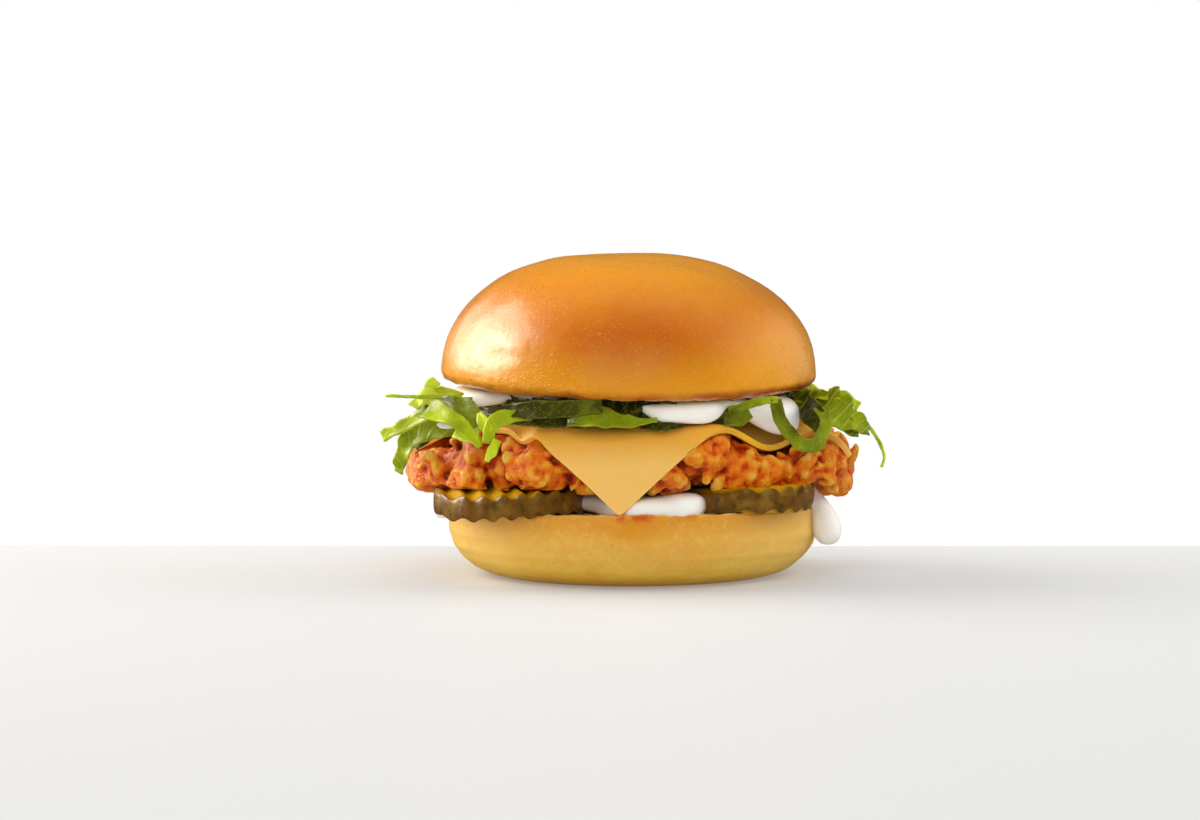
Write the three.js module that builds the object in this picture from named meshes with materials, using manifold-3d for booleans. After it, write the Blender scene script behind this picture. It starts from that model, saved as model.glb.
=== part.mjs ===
// A chicken burger that stands upright, in millimetres, +Z up, with its shown front towards -Y.
// The origin is the centre of the heel's flat underside. From the bottom up: heel, pickles in
// white sauce, fried chicken fillet, cheese slice, shredded lettuce with more sauce, and crown.

import * as THREE from "three";
import { mergeVertices } from "three/addons/utils/BufferGeometryUtils.js";
import Module from "manifold-3d";

const wasm = await Module();
wasm.setup();

// Driving sizes
const bunRadius = 54; // of the crown at its widest
const heelHeight = 19.6; // of the heel's rim at its sides
const crownHeight = 36.8; // above the crown's cut face
const pickleThickness = 6.2;
const filletLength = 127; // along X, without its nubs of crust
const filletWidth = 93; // along Y, without its nubs of crust
const filletThickness = 16.6;
const sliceSide = 90; // of the square cheese slice
const sliceThickness = 2.4;
const leafThickness = 0.8;
const gap = 0.3; // between pieces that touch
const layerGap = 8.8; // between the cheese and the crown, for lettuce and sauce

// Heights that follow from them
const pickleFloor = heelHeight + 0.8;
const filletFloor = pickleFloor + pickleThickness + 0.4; // the crust sinks round the pickles
const filletTop = filletFloor + filletThickness;
const crownFloor = filletTop + sliceThickness + layerGap + 0.8;

const turn = Math.PI * 2;
const degree = Math.PI / 180;
const goldenAngle = Math.PI * (3 - Math.sqrt(5));

const lerp = THREE.MathUtils.lerp;
const smoothstep = THREE.MathUtils.smoothstep;

// The same number between 0 and 1 for the same seed.
function chance(seed) {
  const wild = Math.sin(seed * 12.9898) * 43758.5453;
  return wild - Math.floor(wild);
}

// Smooth unevenness, about -1 to 1, whose bumps are some 3 units apart.
function unevenness(x, y, z) {
  const waves = [
    Math.sin(x + 2.3 * y + 0.7 * z + 1.3),
    Math.sin(-2.1 * x + 0.9 * y + 1.7 * z + 4.1),
    Math.sin(1.6 * x - 1.3 * y - 2.2 * z + 2.2),
    Math.sin(0.5 * x + 1.9 * y + 2.6 * z + 5.5),
  ];
  return waves.reduce((sum, wave) => sum + wave, 0) / waves.length;
}

// A soft hill of height 1 at its centre, for the lumps of the fillet's top.
function hill(x, y, centreX, centreY, wideX, wideY) {
  return Math.exp(
    -(((x - centreX) / wideX) ** 2) - ((y - centreY) / wideY) ** 2,
  );
}

// Moves each vertex of a geometry by a function that changes the vector it is given.
function warp(geometry, move) {
  const position = geometry.attributes.position;
  const point = new THREE.Vector3();
  for (let i = 0; i < position.count; i++) {
    point.fromBufferAttribute(position, i);
    move(point);
    position.setXYZ(i, point.x, point.y, point.z);
  }
  return geometry;
}

// A closed geometry as a solid, with its shared vertices merged and its faces turned outwards.
function solidOf(geometry) {
  const bare = geometry.index ? geometry.toNonIndexed() : geometry.clone();
  bare.deleteAttribute("normal");
  bare.deleteAttribute("uv");
  const merged = mergeVertices(bare, 1e-4);
  const corners = [];
  for (let i = 0; i < merged.index.count; i += 3) {
    const [a, b, c] = [0, 1, 2].map((k) => merged.index.getX(i + k));
    if (a !== b && b !== c && a !== c) corners.push(a, b, c);
  }
  const build = (triangles) =>
    new wasm.Manifold(
      new wasm.Mesh({
        numProp: 3,
        vertProperties: merged.attributes.position.array,
        triVerts: new Uint32Array(triangles),
      }),
    );
  const solid = build(corners);
  return solid.volume() > 0 ? solid : build(corners.reverse());
}

// A solid's largest piece, so that a scrap left by a cut is dropped.
function largestPiece(solid) {
  return solid
    .decompose()
    .reduce((best, piece) => (piece.volume() > best.volume() ? piece : best));
}

function joined(solids) {
  return solids.reduce((whole, solid) => whole.add(solid));
}

// A named mesh of one solid.
function meshOf(solid, name, material) {
  const { vertProperties, triVerts } = solid.getMesh();
  const geometry = new THREE.BufferGeometry();
  geometry.setAttribute(
    "position",
    new THREE.BufferAttribute(new Float32Array(vertProperties), 3),
  );
  geometry.setIndex(new THREE.BufferAttribute(new Uint32Array(triVerts), 1));
  geometry.computeVertexNormals();
  const mesh = new THREE.Mesh(geometry, material);
  mesh.name = name;
  return mesh;
}

// A turned geometry about +Z from a profile of [radius, height] pairs.
function turned(profile, segments) {
  const points = profile.map(([radius, height]) => {
    return new THREE.Vector2(Math.max(radius, 0), height);
  });
  return new THREE.LatheGeometry(points, segments).rotateX(Math.PI / 2);
}

// A thin closed sheet about a surface point(u, v), u and v from 0 to 1. Both faces are split
// into triangles alike. below and above are how far the faces stand from that surface.
function thinSheet(point, countU, countV, below, above) {
  const step = 1e-3;
  const normalAt = (u, v) => {
    const u0 = Math.min(u, 1 - step);
    const v0 = Math.min(v, 1 - step);
    const here = point(u0, v0);
    const alongU = point(u0 + step, v0).sub(here);
    const alongV = point(u0, v0 + step).sub(here);
    return alongU.cross(alongV).normalize();
  };
  const rows = countV + 1;
  const faces = [above, -below].map((offset) => {
    const face = [];
    for (let i = 0; i <= countU; i++)
      for (let j = 0; j <= countV; j++)
        face.push(
          point(i / countU, j / countV).addScaledVector(
            normalAt(i / countU, j / countV),
            offset,
          ),
        );
    return face;
  });
  const vertices = faces.flat();
  const bottom = faces[0].length;
  const index = [];
  const quad = (a, b, c, d) => index.push(a, b, c, a, c, d);
  for (let i = 0; i < countU; i++)
    for (let j = 0; j < countV; j++) {
      const a = i * rows + j;
      quad(a, a + rows, a + rows + 1, a + 1);
      index.push(bottom + a, bottom + a + rows + 1, bottom + a + rows);
      index.push(bottom + a, bottom + a + 1, bottom + a + rows + 1);
    }
  for (let i = 0; i < countU; i++) {
    const near = i * rows;
    const far = near + countV;
    quad(near, near + bottom, near + rows + bottom, near + rows);
    quad(far, far + rows, far + rows + bottom, far + bottom);
  }
  for (let j = 0; j < countV; j++) {
    const last = countU * rows + j;
    quad(j, j + 1, j + 1 + bottom, j + bottom);
    quad(last, last + bottom, last + 1 + bottom, last + 1);
  }
  const geometry = new THREE.BufferGeometry().setFromPoints(vertices);
  return geometry.setIndex(index);
}

// The heel: a flat foot, a round lower edge and a slightly dished cut face.
const heelWidest = 53.5;
const heelCentre = heelHeight - 0.5;
// Radius and height of the heel's side, from the foot to just under the rim.
const heelSide = [
  [44, 0],
  [46.8, 1.2],
  [49.2, 3.4],
  [51.4, 6.4],
  [52.9, 9.6],
  [heelWidest, 13],
];
// Radius, and height below the cut face, of the rim and the face inside it.
const heelCut = [
  [53.1, 1.7],
  [52.3, 0.5],
  [50.9, 0],
  [38, 0],
  [19, 0],
  [0, 0],
];

function heelTop(x, y) {
  const share = (x * x + y * y) / heelWidest ** 2;
  const frontRise = 1.8 * (y / heelWidest) ** 2;
  const sideRise = 0.6 * (x / heelWidest);
  return heelCentre + (heelHeight - heelCentre) * share + frontRise + sideRise;
}

function heelSolid(grow = 0) {
  const topMark = 100;
  const grown = (radius) => (radius > 0 ? radius + grow : 0);
  const profile = [
    [0, -grow],
    ...heelSide.map(([radius, height]) => [grown(radius), height - grow]),
    ...heelCut.map(([radius, below]) => [grown(radius), topMark - below]),
  ];
  return solidOf(
    warp(turned(profile, 44), (p) => {
      if (p.z > topMark / 2) p.z += heelTop(p.x, p.y) - topMark + grow;
      const angle = Math.atan2(p.y, p.x);
      const swell = 1 + 0.006 * Math.sin(3 * angle + 1.2) * (p.z > 2 ? 1 : 0);
      p.x *= swell;
      p.y *= swell;
    }),
  );
}

// The crown: a superellipse dome over a cut face, tipped a little to the front and the right.
const crownCentreX = -1.5;
const crownTiltFront = 1.5 * degree;
const crownTiltRight = 1.05 * degree;
const crownSegments = 44;
const domePower = 2.3;
const crownCurl = 3.2; // height of the edge that turns in to the cut face

function crownSolid(grow = 0) {
  const profile = [
    [0, -grow],
    [bunRadius * 0.6, -grow],
  ];
  const curlSteps = 3;
  for (let i = 0; i <= curlSteps; i++) {
    const angle = ((i / curlSteps) * Math.PI) / 2;
    profile.push([
      bunRadius - 0.2 - crownCurl * 0.9 * (1 - Math.sin(angle)) + grow,
      crownCurl * (1 - Math.cos(angle)) - grow,
    ]);
  }
  const domeSteps = 11;
  for (let i = 1; i <= domeSteps; i++) {
    const angle = lerp(0.03, 1, i / domeSteps) * (Math.PI / 2);
    profile.push([
      (bunRadius + grow) * Math.cos(angle) ** (2 / domePower),
      (crownHeight + grow) * Math.sin(angle) ** (2 / domePower),
    ]);
  }
  profile[profile.length - 1][0] = 0;
  const tilt = new THREE.Matrix4().makeRotationFromEuler(
    new THREE.Euler(crownTiltFront, crownTiltRight, 0),
  );
  return solidOf(
    warp(turned(profile, crownSegments), (p) => {
      const angle = Math.atan2(p.y, p.x);
      const swell = 1 + 0.007 * Math.sin(2 * angle + 0.6);
      p.x *= swell;
      p.y *= swell;
      p.applyMatrix4(tilt);
      p.x += crownCentreX;
      p.z += crownFloor;
    }),
  );
}

// The height of the crown's cut face.
function crownFace(x, y) {
  return (
    crownFloor + y * Math.sin(crownTiltFront) - (x - crownCentreX) * Math.sin(crownTiltRight)
  );
}

// The pickles: crinkle-cut slices, both faces in one wave, that lean outwards over the rim.
const pickleWave = 5.2; // length of one crinkle
const pickleRelief = 0.7; // height of a crinkle above the mid-face
const pickles = [
  { name: "pickle_front_left", x: -34.8, y: -27.5, radius: 22, lean: 1.2, ribs: 8 },
  { name: "pickle_front_right", x: 34, y: -27.4, radius: 18.2, lean: -3, ribs: 58 },
  { name: "pickle_back_left", x: -27.5, y: 29, radius: 20, lean: 2.4, ribs: 40 },
  { name: "pickle_back_right", x: 29.5, y: 28, radius: 20.5, lean: 2.2, ribs: 118 },
];

// Where a pickle lies, from a level disc about the origin.
function picklePlace(pickle) {
  const outward = Math.atan2(pickle.y, pickle.x);
  const leanAxis = new THREE.Vector3(-Math.sin(outward), Math.cos(outward), 0);
  const height = pickleFloor + pickleThickness / 2 + pickleRelief;
  return new THREE.Matrix4()
    .makeTranslation(pickle.x, pickle.y, height)
    .multiply(
      new THREE.Matrix4().makeRotationAxis(leanAxis, pickle.lean * degree),
    )
    .multiply(new THREE.Matrix4().makeRotationZ(pickle.ribs * degree));
}

function pickleDisc(pickle, grow, height) {
  const rim = new THREE.CylinderGeometry(
    pickle.radius + grow,
    pickle.radius + grow,
    height,
    28,
  ).rotateX(Math.PI / 2);
  warp(rim, (p) => {
    const angle = Math.atan2(p.y, p.x);
    const uneven = 1 + 0.02 * Math.sin(2 * angle + pickle.x);
    p.x *= uneven;
    p.y *= uneven;
  });
  return solidOf(rim);
}

function pickleSolid(pickle) {
  const steps = Math.ceil((2 * pickle.radius) / (pickleWave / 3));
  const half = pickle.radius + 1;
  const wave = (x) => pickleRelief * Math.cos((turn * x) / pickleWave);
  const band = new THREE.Shape();
  const thick = pickleThickness / 2;
  for (let i = 0; i <= steps; i++) {
    const x = lerp(-half, half, i / steps);
    if (i === 0) band.moveTo(x, wave(x) - thick);
    else band.lineTo(x, wave(x) - thick);
  }
  for (let i = steps; i >= 0; i--) {
    const x = lerp(-half, half, i / steps);
    band.lineTo(x, wave(x) + thick);
  }
  const sheet = new THREE.ExtrudeGeometry(band, {
    depth: 2 * half,
    bevelEnabled: false,
    steps: 1,
  });
  sheet.translate(0, 0, -half).rotateX(Math.PI / 2);
  return solidOf(sheet)
    .intersect(pickleDisc(pickle, 0, pickleThickness * 3))
    .transform(picklePlace(pickle).elements);
}

// A plain disc round a pickle, to cut its neighbours clear of it.
function pickleCutter(pickle, height = pickleThickness + 2 * pickleRelief + 2 * gap) {
  return pickleDisc(pickle, gap, height).transform(picklePlace(pickle).elements);
}

// The fillet: an oblong pillow whose ends hang past the bun, under nubs of fried crust.
function filletOutline(angle) {
  const power = 2.3;
  const oblong =
    (Math.abs(Math.cos(angle)) / (filletLength / 2)) ** power +
    (Math.abs(Math.sin(angle)) / (filletWidth / 2)) ** power;
  const lumps =
    1.3 * Math.sin(3 * angle + 1) +
    1.1 * Math.sin(5 * angle + 2.2) +
    0.7 * Math.sin(9 * angle);
  const blunt = 3.4 * Math.exp(-((angle / 0.6) ** 2)); // of the right-hand end
  return oblong ** (-1 / power) + lumps - blunt;
}

function filletDome(x, y) {
  return (
    filletTop -
    4 * Math.abs((2 * x) / filletLength) ** 3 +
    1.2 * hill(x, y, 23, -30, 10, 22) -
    6.5 * hill(x, y, 37.4, -22, 9, 22) +
    1.5 * hill(x, y, 58, 0, 8, 25)
  );
}

function filletUpper(x, y) {
  return filletDome(x, y) + 0.8 * unevenness(x / 9, y / 9, 0);
}

function filletLower(x, y) {
  const overhang = smoothstep(Math.abs(x), 47, 64);
  return filletFloor - 4.8 * overhang + 0.5 * unevenness(x / 8, y / 8, 4);
}

// A point of the pillow's skin: angle round it, and pitch from -90 below to 90 degrees above.
function filletSkin(angle, pitch, grow = 0) {
  const power = 3;
  const across = Math.cos(pitch) ** (2 / power);
  const up = Math.sign(pitch) * Math.abs(Math.sin(pitch)) ** (2 / power);
  const reach = (filletOutline(angle) + grow) * across;
  const x = reach * Math.cos(angle);
  const y = reach * Math.sin(angle);
  const middle = (filletUpper(x, y) + filletLower(x, y)) / 2;
  const face = up > 0 ? filletUpper(x, y) + grow : filletLower(x, y) - grow;
  return new THREE.Vector3(x, y, middle + Math.abs(up) * (face - middle));
}

// The nubs of crust: round-topped lumps spread evenly over the pillow's skin. Where two meet,
// the higher one shows, so a crease runs between them.
const nubCount = 84;
const nubs = Array.from({ length: nubCount }, (_, i) => {
  const angle = i * goldenAngle;
  const pitch = lerp(-58, 58, chance(i + 0.5)) * degree;
  const radius = lerp(5, 10, chance(i + 40.2) ** 1.4);
  return {
    centre: filletSkin(angle, pitch),
    radius,
    height: radius * lerp(0.42, 0.72, chance(i + 7.7)),
    sinks: lerp(0.8, 2.4, chance(i + 3.1)),
  };
});

// How far the crust stands out from the pillow at a point of its skin.
function crustRelief(point) {
  let relief = -2;
  for (const nub of nubs) {
    const share = point.distanceTo(nub.centre) / nub.radius;
    if (share < 1)
      relief = Math.max(
        relief,
        nub.height * Math.sqrt(1 - share * share) - nub.sinks,
      );
  }
  return relief + 0.4 * unevenness(point.x / 3, point.y / 3, point.z / 3);
}

function filletSolid(grow = 0) {
  const profile = [];
  const rings = 15;
  for (let i = 0; i <= rings; i++) {
    const pitch = lerp(-90, 90, i / rings) * degree;
    const pole = i === 0 || i === rings;
    profile.push([pole ? 0 : Math.cos(pitch), Math.sin(pitch)]);
  }
  return solidOf(
    warp(turned(profile, 80), (p) => {
      const angle = Math.atan2(p.y, p.x);
      const pitch = Math.atan2(p.z, Math.hypot(p.x, p.y));
      const relief = crustRelief(filletSkin(angle, pitch));
      p.copy(filletSkin(angle, pitch, relief + grow));
    }),
  );
}

// The cheese: a square slice draped over the fillet, one corner hanging down at the front.
const sliceTurn = 43.5 * degree; // from +X to its right-hand edge
const frontCorner = new THREE.Vector2(-3.2, -71.4); // of the flat slice, before it is draped
const foldRadius = 5;
const flapLean = 10 * degree; // of the hanging corner, out from upright

// Where the slice starts to fold down, as a distance in front of the middle.
function foldLine(x) {
  return 44.5 - 0.0042 * x * x;
}

function sliceHeight(x, y) {
  const settled =
    filletDome(x, y) -
    5 * smoothstep(Math.abs(x), 50, 66) -
    0.02 * Math.max(0, y - 34) ** 2;
  return settled + sliceThickness / 2 + 0.5;
}

function slicePoint(u, v) {
  const flatX =
    frontCorner.x + sliceSide * (u * Math.cos(sliceTurn) - v * Math.sin(sliceTurn));
  const flatY =
    frontCorner.y + sliceSide * (u * Math.sin(sliceTurn) + v * Math.cos(sliceTurn));
  const fold = foldLine(flatX);
  const past = -flatY - fold;
  if (past <= 0)
    return new THREE.Vector3(flatX, flatY, sliceHeight(flatX, flatY));
  const bend = Math.PI / 2 - flapLean;
  const arc = Math.min(past / foldRadius, bend);
  const hang = Math.max(0, past - foldRadius * bend);
  const edge = sliceHeight(flatX, -fold);
  return new THREE.Vector3(
    flatX,
    -fold - foldRadius * Math.sin(arc) - hang * Math.sin(flapLean),
    edge - foldRadius * (1 - Math.cos(arc)) - hang * Math.cos(flapLean),
  );
}

function sliceSolid(grow = 0, above = sliceThickness / 2 + grow) {
  const past = grow / sliceSide;
  const surface = (u, v) =>
    slicePoint(lerp(-past, 1 + past, u), lerp(-past, 1 + past, v));
  return solidOf(thinSheet(surface, 12, 12, sliceThickness / 2 + grow, above));
}

// A pool of sauce, or the core of the lettuce: a flat round pillow between two surfaces,
// with lobes that reach out and sag over the rim. A lobe's angle and width are in degrees,
// and its reach, sag and swell are mm past the pool's own.
function poolSolid(pool, grow = 0) {
  const profile = [];
  for (let i = 0; i <= pool.rings; i++) {
    const pitch = lerp(-90, 90, i / pool.rings) * degree;
    const pole = i === 0 || i === pool.rings;
    profile.push([pole ? 0 : Math.cos(pitch), Math.sin(pitch)]);
  }
  return solidOf(
    warp(turned(profile, pool.segments), (p) => {
      const angle = Math.atan2(p.y, p.x);
      const pitch = Math.atan2(p.z, Math.hypot(p.x, p.y));
      const across = Math.cos(pitch) ** 0.5;
      const up = Math.sign(pitch) * Math.abs(Math.sin(pitch)) ** 0.5;
      let reach = pool.radius + grow + pool.uneven * Math.sin(7 * angle + 0.5);
      let sag = 0;
      let swell = 0;
      for (const lobe of pool.lobes) {
        const off = nearTurn(angle / degree, lobe.angle) - lobe.angle;
        const share = Math.exp(-((off / lobe.wide) ** 4));
        reach += lobe.reach * share;
        sag += lobe.sag * share;
        swell += lobe.swell * share;
      }
      const x = reach * across * Math.cos(angle);
      const y = reach * across * Math.sin(angle);
      const outer = smoothstep(across, 0.72, 1);
      const low = pool.low(x, y);
      const high = pool.high(x, y);
      const half = (high - low) / 2 + swell * outer + grow;
      p.set(x, y, (low + high) / 2 - sag * outer + half * up);
    }),
  );
}

// A drip that hangs: a teardrop whose pointed end is up.
function dripSolid(drip, grow = 0) {
  const profile = [];
  const rings = 9;
  for (let i = 0; i <= rings; i++) {
    const t = i / rings;
    const swell = Math.sin(Math.PI * t ** 0.62) ** 0.75 * (1 - 0.35 * t);
    profile.push([
      i === 0 || i === rings ? 0 : drip.radius * swell + grow,
      lerp(drip.low, drip.high, t),
    ]);
  }
  return solidOf(
    warp(turned(profile, 16), (p) => {
      const t = (p.z - drip.low) / (drip.high - drip.low);
      p.x += drip.x - drip.drawn * t * t;
      p.y += drip.y;
    }),
  );
}

const lowerPool = {
  radius: 40,
  uneven: 0.6,
  segments: 44,
  rings: 6,
  low: (x, y) => heelTop(x, y) + gap + 0.2,
  high: () => filletFloor - gap - 0.2,
  lobes: [
    { angle: -82, wide: 20, reach: 12.6, sag: 1.1, swell: 1.8 },
    { angle: -71, wide: 7, reach: 1.5, sag: -0.8, swell: 0.8 },
    { angle: -12, wide: 13, reach: 15, sag: 1.4, swell: -0.6 },
    { angle: 160, wide: 10, reach: 16, sag: 4.4, swell: 1 },
    { angle: 92, wide: 17, reach: 12.4, sag: 0, swell: 0.6 },
  ],
};
const sideDrip = { x: 56, y: -13, low: 9.2, high: 29, radius: 4.9, drawn: 6.5 };

const upperPool = {
  radius: 45,
  uneven: 0.8,
  segments: 48,
  rings: 6,
  low: (x, y) => crownFace(x, y) - 3.6,
  high: (x, y) => crownFace(x, y) - gap - 0.1,
  lobes: [
    { angle: -71.5, wide: 14.5, reach: 8, sag: 2.4, swell: 2.8 },
    { angle: -150, wide: 18, reach: 9, sag: 1.4, swell: 1.8 },
    { angle: -33, wide: 15, reach: 8.8, sag: 5.6, swell: 5.4 },
    { angle: 38, wide: 13, reach: 6.5, sag: 1.6, swell: 1.4 },
    { angle: 118, wide: 16, reach: 6.4, sag: 1.4, swell: 1.2 },
  ],
};

// The lettuce: a flat core under the sauce, with strips that run out of it and hang down. A
// strip follows its path of [x, y, z]; its width is given at the root, middle and tip, and
// facing is the way that its face looks.
const shreds = [
  // left: a thin strand, pale frills at the bun's edge, a cut strip, a hanging leaf
  { path: [[-46, -40, 53.4], [-52, -38, 54], [-60, -36, 54], [-70.6, -33, 54.2]],
    width: [1.6, 1.2, 0.6], facing: [0, -1, 0.4], rooted: true },
  { path: [[-50, -27, 52], [-55, -30, 54.2], [-57.4, -31, 56.6], [-56.2, -31, 58.4]],
    width: [5, 5, 3], facing: [-0.3, -1, 0.1] },
  { path: [[-51, -30, 52.4], [-57.4, -31, 53.4], [-61, -31, 52.6], [-62.6, -30, 50.6]],
    width: [4.6, 4.6, 3], facing: [0, -1, 0.5] },
  { path: [[-48, -31, 50.4], [-56.4, -34, 49.2], [-61.8, -32, 47.4], [-66.4, -30, 44.6],
    [-71.4, -28, 41.8]],
    width: [4.8, 4.2, 3.6], facing: [-0.2, -1, 0.6], rooted: true },
  { path: [[-46, -25, 45.6], [-53.6, -28, 44.4], [-59.4, -27, 43.4], [-63.4, -25.6, 41.2],
        [-65.6, -24, 37.6], [-66.6, -22.6, 33.8], [-67.4, -21.6, 31]],
    width: [5.4, 5.8, 3], facing: [-0.3, -1, 0.3], rooted: true },
  { path: [[-58.6, -38, 50.6], [-54.8, -42, 49.9], [-50.6, -45, 48], [-47.2, -46.6, 45.2],
        [-44.8, -47.6, 42.6], [-43.4, -48, 40.8]],
    width: [6.8, 4, 1.6], facing: [0.15, -1, 0.35] },
  { path: [[-55, -38, 53], [-50, -41.6, 52.4], [-46, -44, 50.4], [-44, -45.6, 46.6]],
    width: [3, 5.6, 4.4], facing: [-0.6, -1, 0.6] },
  { path: [[-29, -46, 49.4], [-34, -48, 49.6], [-38.4, -49, 48.6], [-40.8, -49.6, 45.8],
        [-41.4, -50, 42]],
    width: [2.6, 4.8, 3.2], facing: [0.3, -1, 0.3] },
  { path: [[-43.6, -46.4, 50.4], [-42.4, -48.6, 47.8], [-40.6, -49.8, 45]],
    width: [1.8, 3.4, 3], facing: [-0.3, -1, 0.1] },
  { path: [[-50.8, -43, 45.2], [-48, -44.4, 44.2], [-45.4, -45.6, 43]],
    width: [4.2, 4.8, 4.2], facing: [0, -1, 0.3] },
  { path: [[-38.6, -49.6, 43], [-40.2, -50.4, 39.8], [-41.6, -50.4, 36.8]],
    width: [2.4, 2.8, 0.9], facing: [0.2, -1, 0.3] },
  { path: [[-58, -24, 46], [-60, -26, 42], [-62, -25, 38.4]],
    width: [5, 5, 2], facing: [-0.6, -1, 0.1] },
  // front: a dark band under the bun, a paler torn leaf on the cheese
  { path: [[-37, -46.8, 51], [-30.5, -49, 51.4], [-20, -51, 51.9], [-9, -51.5, 52.8]],
    width: [3.6, 5, 3.4], facing: [0, -1, 0.15] },
  { path: [[-36, -44, 48.6], [-26, -47, 47.9], [-14, -48, 47.6]],
    width: [3.2, 3.6, 3], facing: [0, -1, 0.4], rooted: true },
  { path: [[-18.8, -50, 47.8], [-13.4, -51.4, 48.6], [-8, -52, 49.2], [-1.6, -52, 48.4],
        [6.6, -51.8, 48.6]],
    width: [3, 6, 1.6], facing: [0, -1, 0.7], rooted: true },
  { path: [[-14, -46, 51.6], [-2, -47.5, 52], [12, -47, 51.2]],
    width: [6, 6, 5], facing: [0, -1, 0.1], rooted: true },
  { path: [[2, -49.6, 46.9], [8, -50, 46.8], [14, -50, 47.2]],
    width: [2, 2.6, 1.2], facing: [0, -1, 0.4], rooted: true },
  // right: folded bits beside the sauce, a loop, a broad ribbed leaf and a hair
  { path: [[27, -46.4, 51], [32, -47, 52.6], [36, -45, 53.6], [40.8, -42.4, 53.6]],
    width: [2.2, 2.2, 1.8], facing: [0.3, -1, 0.3] },
  { path: [[25.6, -46.6, 48.4], [29.9, -48, 49.2], [33, -47, 50.6]],
    width: [3.4, 4.8, 3], facing: [0.2, -1, 0.4] },
  { path: [[40.4, -42.6, 54], [40.8, -43.4, 50.8], [42.2, -43.8, 47], [44.6, -43.4, 43.6],
        [47.8, -42, 41], [50.4, -40.4, 40.4], [52.8, -38, 41.6], [54.4, -35, 44.6],
        [54.6, -32, 47.6], [53, -28.6, 50]],
    width: [3.4, 3.9, 3], facing: [0.25, -1, 0.25] },
  { path: [[39, -8, 48.2], [48, -14, 49], [53.6, -22, 50], [58, -26, 48.8],
        [62.6, -24.8, 46.4], [67.2, -22, 43.4]],
    width: [5, 11.6, 4], facing: [0.25, -1, 0.45] },
  { path: [[40, -5, 49], [50, -13, 51.6], [56, -21, 53.2], [60.6, -22, 52.6],
        [64.4, -21, 49.8]],
    width: [3.4, 4, 2.4], facing: [0.2, -1, 0.8] },
  { path: [[50, -21, 50.6], [51.4, -28, 48.6], [54, -29.6, 44.6]],
    width: [6, 7, 5], facing: [-0.3, -1, 0] },
  { path: [[57, -25.4, 48], [61.4, -25.6, 44.8], [64.4, -23.6, 43]],
    width: [5, 5, 3], facing: [0.3, -1, 0.3] },
  { path: [[63, -24.4, 46.2], [66.8, -20.8, 45], [69.2, -19, 42], [71, -18, 38.4],
        [72, -17, 35], [71.2, -17, 32.2]],
    width: [1.1, 0.8, 0.5], facing: [0.2, -1, 0.3] },
];

// The strips of the sides and back, spread evenly with seeded sizes.
const backShreds = 40;
for (let i = 0; i < backShreds; i += 3) {
  const angle = lerp(14, 170, (i + 0.6 * chance(i + 310.2)) / backShreds);
  const side = Math.abs(Math.cos(angle * degree));
  const past = lerp(7, 17, chance(i + 311.9)) + 6 * side;
  const sway = lerp(-16, 16, chance(i + 312.5));
  const low = lerp(50, 41, chance(i + 313.3)) - 1.5 * side;
  const path = [0, 0.35, 0.7, 1].map((share) => {
    const spot = (angle + sway * (1 - share)) * degree;
    const radius = 41 + (past + 2) * Math.sin((share * Math.PI) / 2);
    const height = lerp(49.4, low, share ** 1.7) + 1.6 * Math.sin(share * Math.PI);
    return [radius * Math.cos(spot), radius * Math.sin(spot), height];
  });
  const outward = lerp(0.2, 1.2, chance(i + 314.7));
  const width = lerp(3.4, 9.5, chance(i + 316.8));
  shreds.push({
    path,
    width: [width * 0.8, width, width * lerp(0.3, 0.9, chance(i + 317))],
    facing: [
      Math.cos(angle * degree) * outward - Math.sin(angle * degree) * 0.5,
      Math.sin(angle * degree) * outward + Math.cos(angle * degree) * 0.5,
      lerp(0.4, 1.4, chance(i + 315.1)),
    ],
  });
}

// Where a strip starts outside the core, a second one, its root, ties it on under the others.
const rootHeight = 47.6;
const coreInside = 40; // a radius that is well inside the core
function rootOf(shred) {
  const [x, y] = shred.path[0];
  const radius = Math.hypot(x, y);
  const under = (reach) => [(x / radius) * reach, (y / radius) * reach, rootHeight];
  return {
    path: [under(coreInside), under(Math.min(radius - 3, 53)), shred.path[0]],
    width: [3, 2.4, 1.2],
    facing: [0, 0, 1],
  };
}

// An angle in degrees, moved by whole turns to within half a turn of another.
function nearTurn(angle, other) {
  return angle - 360 * Math.round((angle - other) / 360);
}

function shredSolid(shred) {
  const points = shred.path.map((point) => new THREE.Vector3(...point));
  const line = new THREE.CatmullRomCurve3(points, false, "catmullrom", 0.5);
  const facing = new THREE.Vector3(...shred.facing);
  const [root, middle, tip] = shred.width;
  const surface = (u, v) => {
    const here = line.getPoint(u);
    const along = line.getPoint(Math.min(u + 0.02, 1));
    along.sub(line.getPoint(Math.max(u - 0.02, 0))).normalize();
    const side = along.clone().cross(facing).normalize();
    const face = side.clone().cross(along);
    const width =
      u < 0.5
        ? lerp(root, middle, smoothstep(u, 0, 0.5))
        : lerp(middle, tip, smoothstep(u, 0.5, 1));
    const share = 2 * v - 1;
    return here
      .addScaledVector(side, (share * width) / 2)
      .addScaledVector(face, 0.13 * width * share * share);
  };
  const half = leafThickness / 2;
  const steps = points.length;
  return solidOf(thinSheet(surface, steps, middle > 5.2 ? 2 : 1, half, half));
}

const roots = shreds.filter((shred) => shred.rooted).map(rootOf);

const lettuceCore = {
  radius: 43.5,
  uneven: 1.2,
  segments: 28,
  rings: 4,
  low: (x, y) => sliceHeight(x, y) + sliceThickness / 2 + gap + 0.2,
  high: (x, y) => crownFace(x, y) - 3.6 - gap - 0.1,
  lobes: [
    { angle: -60, wide: 12, reach: 2.4, sag: 0, swell: 0 },
    { angle: -120, wide: 20, reach: 2.2, sag: 0, swell: 0 },
    { angle: 80, wide: 25, reach: 2, sag: 0, swell: 0 },
  ],
};

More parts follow.
